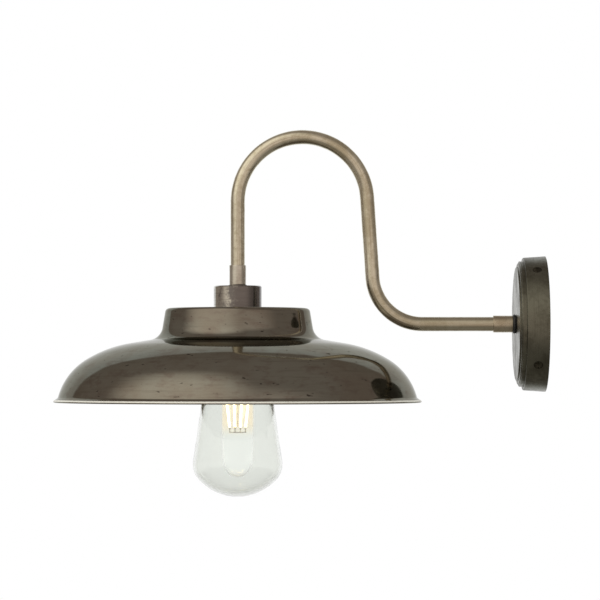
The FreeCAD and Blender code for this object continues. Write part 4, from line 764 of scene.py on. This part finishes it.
def bulb_outline():
    """The tubular bulb in section: nose, wide arc, straight side, pulled-in neck, and the same inside."""
    def face(wall):
        return np.concatenate([
            arc((0, -125.4), 11.0 - wall, 270, 323.13, 20)[:-1],
            arc((-12.0, -116.4), 26.0 - wall, -36.87, 0, 16),
            run((14.0 - wall, -112.0), (14.0 - wall, -42.0), 8.0),
            rounded([(14.0 - wall, -42.0, 0), (14.0 - wall, -38.0, 5.0), (12.4 - wall, -30.0, 5.0),
                     (12.4 - wall, -27.0, 0)], 5, False)])
    outer, inner = face(0.0), face(0.9)
    return np.concatenate([outer, inner[::-1]])


stem = [(0, -54.0, 0), (2.0, -54.0, 1.2), (2.8, -49.0, 3.0), (2.8, -36.5, 4.0), (11.2, -30.0, 0.5),
        (11.2, -29.0, 0.3), (0, -29.0, 0)]
turned("well_glass_skin", glass_outline(), 160, "glass", "well_glass", paints["clear_glass"],
       loop=False)
turned("bulb_skin", bulb_outline(), 96, "lamp", "lamp_bulb", paints["bulb_glass"], loop=False)
turned("stem_skin", rounded(stem, 6, False), 64, "lamp", "lamp_stem", paints["stem_glass"],
       loop=False)


def lamp_cap():
    """The threaded cap: its radius dips with the height and the turn, so the dips make one screw thread.

    radius = crest - depth (1 - cos(whole turns)) / 2, and the dip fades in and out over the first and last
    3 millimetres of the thread.  The inside follows the outside, one wall further in.
    """
    columns, pitch, depth, crest, wall = 96, 3.62, 1.15, 13.1, 0.45
    angle = full_turn(columns)
    first, last, fading = -28.6, -11.2, 3.0
    height = np.linspace(-29.0, -10.6, 96)
    fade = np.clip(np.minimum(height - first, last - height) / fading, 0, 1)[:, None]
    wave = (1 - np.cos(height[:, None] / pitch * TURN - angle[None, :])) / 2
    thread = crest - depth * wave * fade
    ends = [(12.2, -30.0), (12.9, -30.0), (crest, -29.7)], [(12.9, -10.2), (10.4, -8.2), (9.8, -8.0)]
    low, high = (np.array(points) for points in ends)
    radius = np.concatenate([np.repeat(low[:, :1], columns, 1), thread, np.repeat(high[:, :1], columns, 1)])
    level = np.concatenate([low[:, 1], height, high[:, 1]])
    radius = np.concatenate([radius, np.maximum(radius[::-1] - wall, 9.3)])
    level = np.concatenate([level, level[::-1] - np.where(level[::-1] > -10, wall, 0.0)])
    grid = np.stack([LAMP_X + radius * np.cos(angle), radius * np.sin(angle),
                     np.repeat(level[:, None], columns, 1)], -1)
    return mesh_piece("lamp_cap_skin", grid.reshape(-1, 3), quads(len(level), columns, True), "lamp",
                      "lamp_cap", paints["nickel_cap"])


lamp_cap()


# ------------------------------------------------------------------ filaments

# The turn of each filament about the lamp's axis, and their ends (radius, height).
FILAMENTS = [math.radians(20.0 + 90.0 * i) for i in range(4)]
LOW_END, HIGH_END = np.array([7.3, -93.0]), np.array([11.67, -55.25])


def stood_up(flat, turn):
    """Points (radius, height) stood in the upright plane through the lamp's axis at this turn."""
    flat = np.asarray(flat, float)
    return np.stack([LAMP_X + flat[:, 0] * math.sin(turn), -flat[:, 0] * math.cos(turn), flat[:, 1]], -1)


def rod(flat, radius, turn, columns=16):
    """A rod along flat points in that plane, closed on a pole at each end: its vertices and faces."""
    path = stood_up(flat, turn)
    across = (math.cos(turn), math.sin(turn), 0)
    radius = np.broadcast_to(np.asarray(radius, float), len(path))
    grid = swept_grid(path, radius, across, columns)
    count = len(path) * columns
    faces = quads(len(path), columns, False) + fan(count, 0, columns, False)
    faces += fan(count + 1, count - columns, columns, True)
    return np.concatenate([grid.reshape(-1, 3), path[[0, -1]]]), faces


def joined(name, rods, node, material):
    """One piece of several rods."""
    vertices, faces, first = [], [], 0
    for points, rows in rods:
        vertices.append(points)
        faces += [tuple(corner + first for corner in face) for face in rows]
        first += len(points)
    return mesh_piece(name, np.concatenate(vertices), faces, "lamp", node, material)


def capsule(start, end, radius, steps=5):
    """Flat points and radii of a rod with rounded ends, both ends inside start and end."""
    start, end = np.asarray(start, float), np.asarray(end, float)
    length = np.linalg.norm(end - start)
    turn = np.radians(np.linspace(8, 90, steps))
    reach = radius * (1 - np.cos(turn))
    middle = np.linspace(radius, length - radius, 12)[1:-1]
    share = np.concatenate([reach, middle, length - reach[::-1]]) / length
    size = np.concatenate([radius * np.sin(turn), np.full(len(middle), radius), radius * np.sin(turn)[::-1]])
    return start + (end - start) * share[:, None], size


lean = (HIGH_END - LOW_END) / np.linalg.norm(HIGH_END - LOW_END)
joined("filament_rods", [rod(*capsule(LOW_END + lean * 1.3, HIGH_END - lean * 1.3, 0.95), turn)
                         for turn in FILAMENTS], "lamp_filaments",
       paints["glowing_filament"])
leads = [rod(run((0.0, -53.0), (0.0, -96.4), 6.0), 0.35, 0.0, 12)]
for turn in FILAMENTS:
    foot = rounded([(0.0, -96.0, 0), (7.3, -96.0, 1.2), (7.3, -93.4, 0)], 6, False)
    top = rounded([(0.0, -45.2, 0), (8.2, -46.2, 2.0), tuple(HIGH_END) + (0,)], 6, False)
    leads += [rod(foot, 0.35, turn, 12), rod(top, 0.3, turn, 12)]
    leads += [rod(*capsule(LOW_END - lean * 0.5, LOW_END + lean * 1.9, 0.75), turn),
              rod(*capsule(HIGH_END - lean * 1.9, HIGH_END + lean * 0.3, 0.75), turn),
              rod(*capsule((7.3, -96.6), (7.3, -95.0), 0.6, 4), turn, 12)]
joined("lead_wires", leads, "filament_leads", paints["nickel_cap"])


# ------------------------------------------------------------------ camera, light and floor

CAMERA_PLACE, CAMERA_UP, LENS = (-0.217, -2.66, -0.041), 1.342, 180.2    # metres, degrees, millimetres
KEY = (-0.586, -0.586, 0.559)                                            # the way to the key light

camera_data = bpy.data.cameras.new("photo_view")
camera_data.lens, camera_data.sensor_width = LENS, 36.0
camera = bpy.data.objects.new("photo_view", camera_data)
camera.location = CAMERA_PLACE
camera.rotation_euler = (math.radians(90 + CAMERA_UP), 0, 0)
bpy.context.scene.collection.objects.link(camera)
bpy.context.scene.camera = camera
bpy.context.scene.view_settings.view_transform = "Standard"


def studio():
    """The world: white for the camera and through glass, even for dull surfaces, and a room for reflections.

    The room is dim and warm, with a white backdrop inside a cone behind the object, a soft key from the front
    left and a weaker fill from the front.
    """
    world = bpy.data.worlds.new("studio")
    world.use_nodes = True
    bpy.context.scene.world = world
    tree = world.node_tree
    wire = Wire(tree)
    path = wire.node("LightPath")
    seen, glossy, through = (Wire(tree, path.socket.node.outputs[name])
                             for name in ("Is Camera Ray", "Is Glossy Ray", "Is Transmission Ray"))
    way = wire.node("TexCoord", out="Generated")

    def towards(x, y, z):
        """The cosine of the angle from a direction."""
        return way.node("VectorMath", {"operation": "DOT_PRODUCT"}, {0: way, 1: (x, y, z)}, "Value")

    def behind(outer, inner):
        """0 outside a cone behind the object and 1 inside a narrower one, by their half angles in degrees."""
        return towards(0.0, 1.0, 0.0).between(math.cos(math.radians(outer)), math.cos(math.radians(inner)))

    backdrop = behind(50, 47)
    key = towards(*KEY).between(0.64, 0.99)
    front = towards(0.22, -0.975, 0.0).between(0.52, 0.98)
    below = towards(0.0, 0.0, -1.0).between(0.1, 0.9)
    room = front.mix(colour(0.245, 0.208, 0.17), colour(0.52, 0.44, 0.36))
    room = below.mix(room, colour(0.20, 0.18, 0.145))
    room = key.mix(room, colour(0.86, 0.78, 0.64))
    white = behind(48, 20)
    room = backdrop.mix(room, white.mix(colour(0.55, 0.56, 0.53), colour(1.0, 1.0, 1.0)))
    light = glossy.mix(colour(0.75, 0.75, 0.75), room)
    light = through.mix(light, colour(1.0, 1.0, 1.0))
    light = seen.mix(light, colour(1.0, 1.0, 1.0))
    tree.links.new(light.socket, tree.nodes["Background"].inputs["Color"])


studio()


def soft_lamp(name, place, target, size, power):
    """A square lamp turned towards a target.  It lights dull surfaces and isn't seen in polished ones."""
    data = bpy.data.lights.new(name, "AREA")
    data.shape, data.size, data.energy = "SQUARE", size, power
    lamp = bpy.data.objects.new(name, data)
    lamp.location = place
    way = np.array(target) - np.array(place)
    tilt = math.acos(-way[2] / np.linalg.norm(way))
    lamp.rotation_euler = (tilt, 0, math.atan2(way[1], way[0]) - TURN / 4)
    lamp.visible_glossy = False
    bpy.context.scene.collection.objects.link(lamp)


soft_lamp("key_lamp", (-1.45, -1.5, 1.25), (-0.2, 0, 0), 1.3, 22.0)
soft_lamp("top_lamp", (-0.2, 0.3, 1.9), (-0.2, 0, 0), 1.2, 9.0)


FLOOR_X, FLOOR_Z, FLOOR_R = -200, -420, 2000     # its middle, height and radius


def floor():
    """A round pale floor of rings, which fades to white towards its edge and is clear from underneath."""
    columns, radius = 96, np.linspace(0, FLOOR_R, 41)[1:]
    angle = full_turn(columns)
    grid = np.stack([FLOOR_X + radius[:, None] * np.cos(angle), radius[:, None] * np.sin(angle),
                     np.full((len(radius), columns), float(FLOOR_Z))], -1).reshape(-1, 3)
    mesh = bpy.data.meshes.new("floor")
    faces = [face[::-1] for face in quads(len(radius), columns, False) + fan(len(grid), 0, columns, True)]
    mesh.from_pydata((np.concatenate([grid, [(FLOOR_X, 0, FLOOR_Z)]]) * 0.001).tolist(), [], faces)
    material = bpy.data.materials.new("pale_floor")
    material.use_nodes = True
    tree = material.node_tree
    shader, output = tree.nodes["Principled BSDF"], tree.nodes["Material Output"]
    wire = Wire(tree)
    at = object_place(wire)
    middle = (FLOOR_X * 0.001, 0.0, FLOOR_Z * 0.001)
    centred = at.node("VectorMath", {"operation": "SUBTRACT"}, {0: at, 1: middle})
    away = centred.node("VectorMath", {"operation": "LENGTH"}, {0: centred}, "Value")
    tint = at.spots(3.0, 2.0).mix(colour(0.80, 0.80, 0.79), colour(0.84, 0.84, 0.83))
    tree.links.new(tint.socket, shader.inputs["Base Color"])
    shader.inputs["Roughness"].default_value = 0.9
    white = wire.node("Emission", None, {"Color": colour(1, 1, 1), "Strength": 1.0})
    matt = Wire(tree, shader.outputs[0])
    blend = wire.node("MixShader", None, {0: away.between(0.7, 1.9), 1: matt, 2: white})
    under = wire.node("NewGeometry", out="Backfacing")
    seen = wire.node("MixShader", None, {0: under, 1: blend, 2: wire.node("BsdfTransparent")})
    tree.links.new(seen.socket, output.inputs["Surface"])
    mesh.materials.append(material)
    piece = bpy.data.objects.new("floor", mesh)
    piece.visible_glossy = False
    bpy.context.scene.collection.objects.link(piece)


floor()
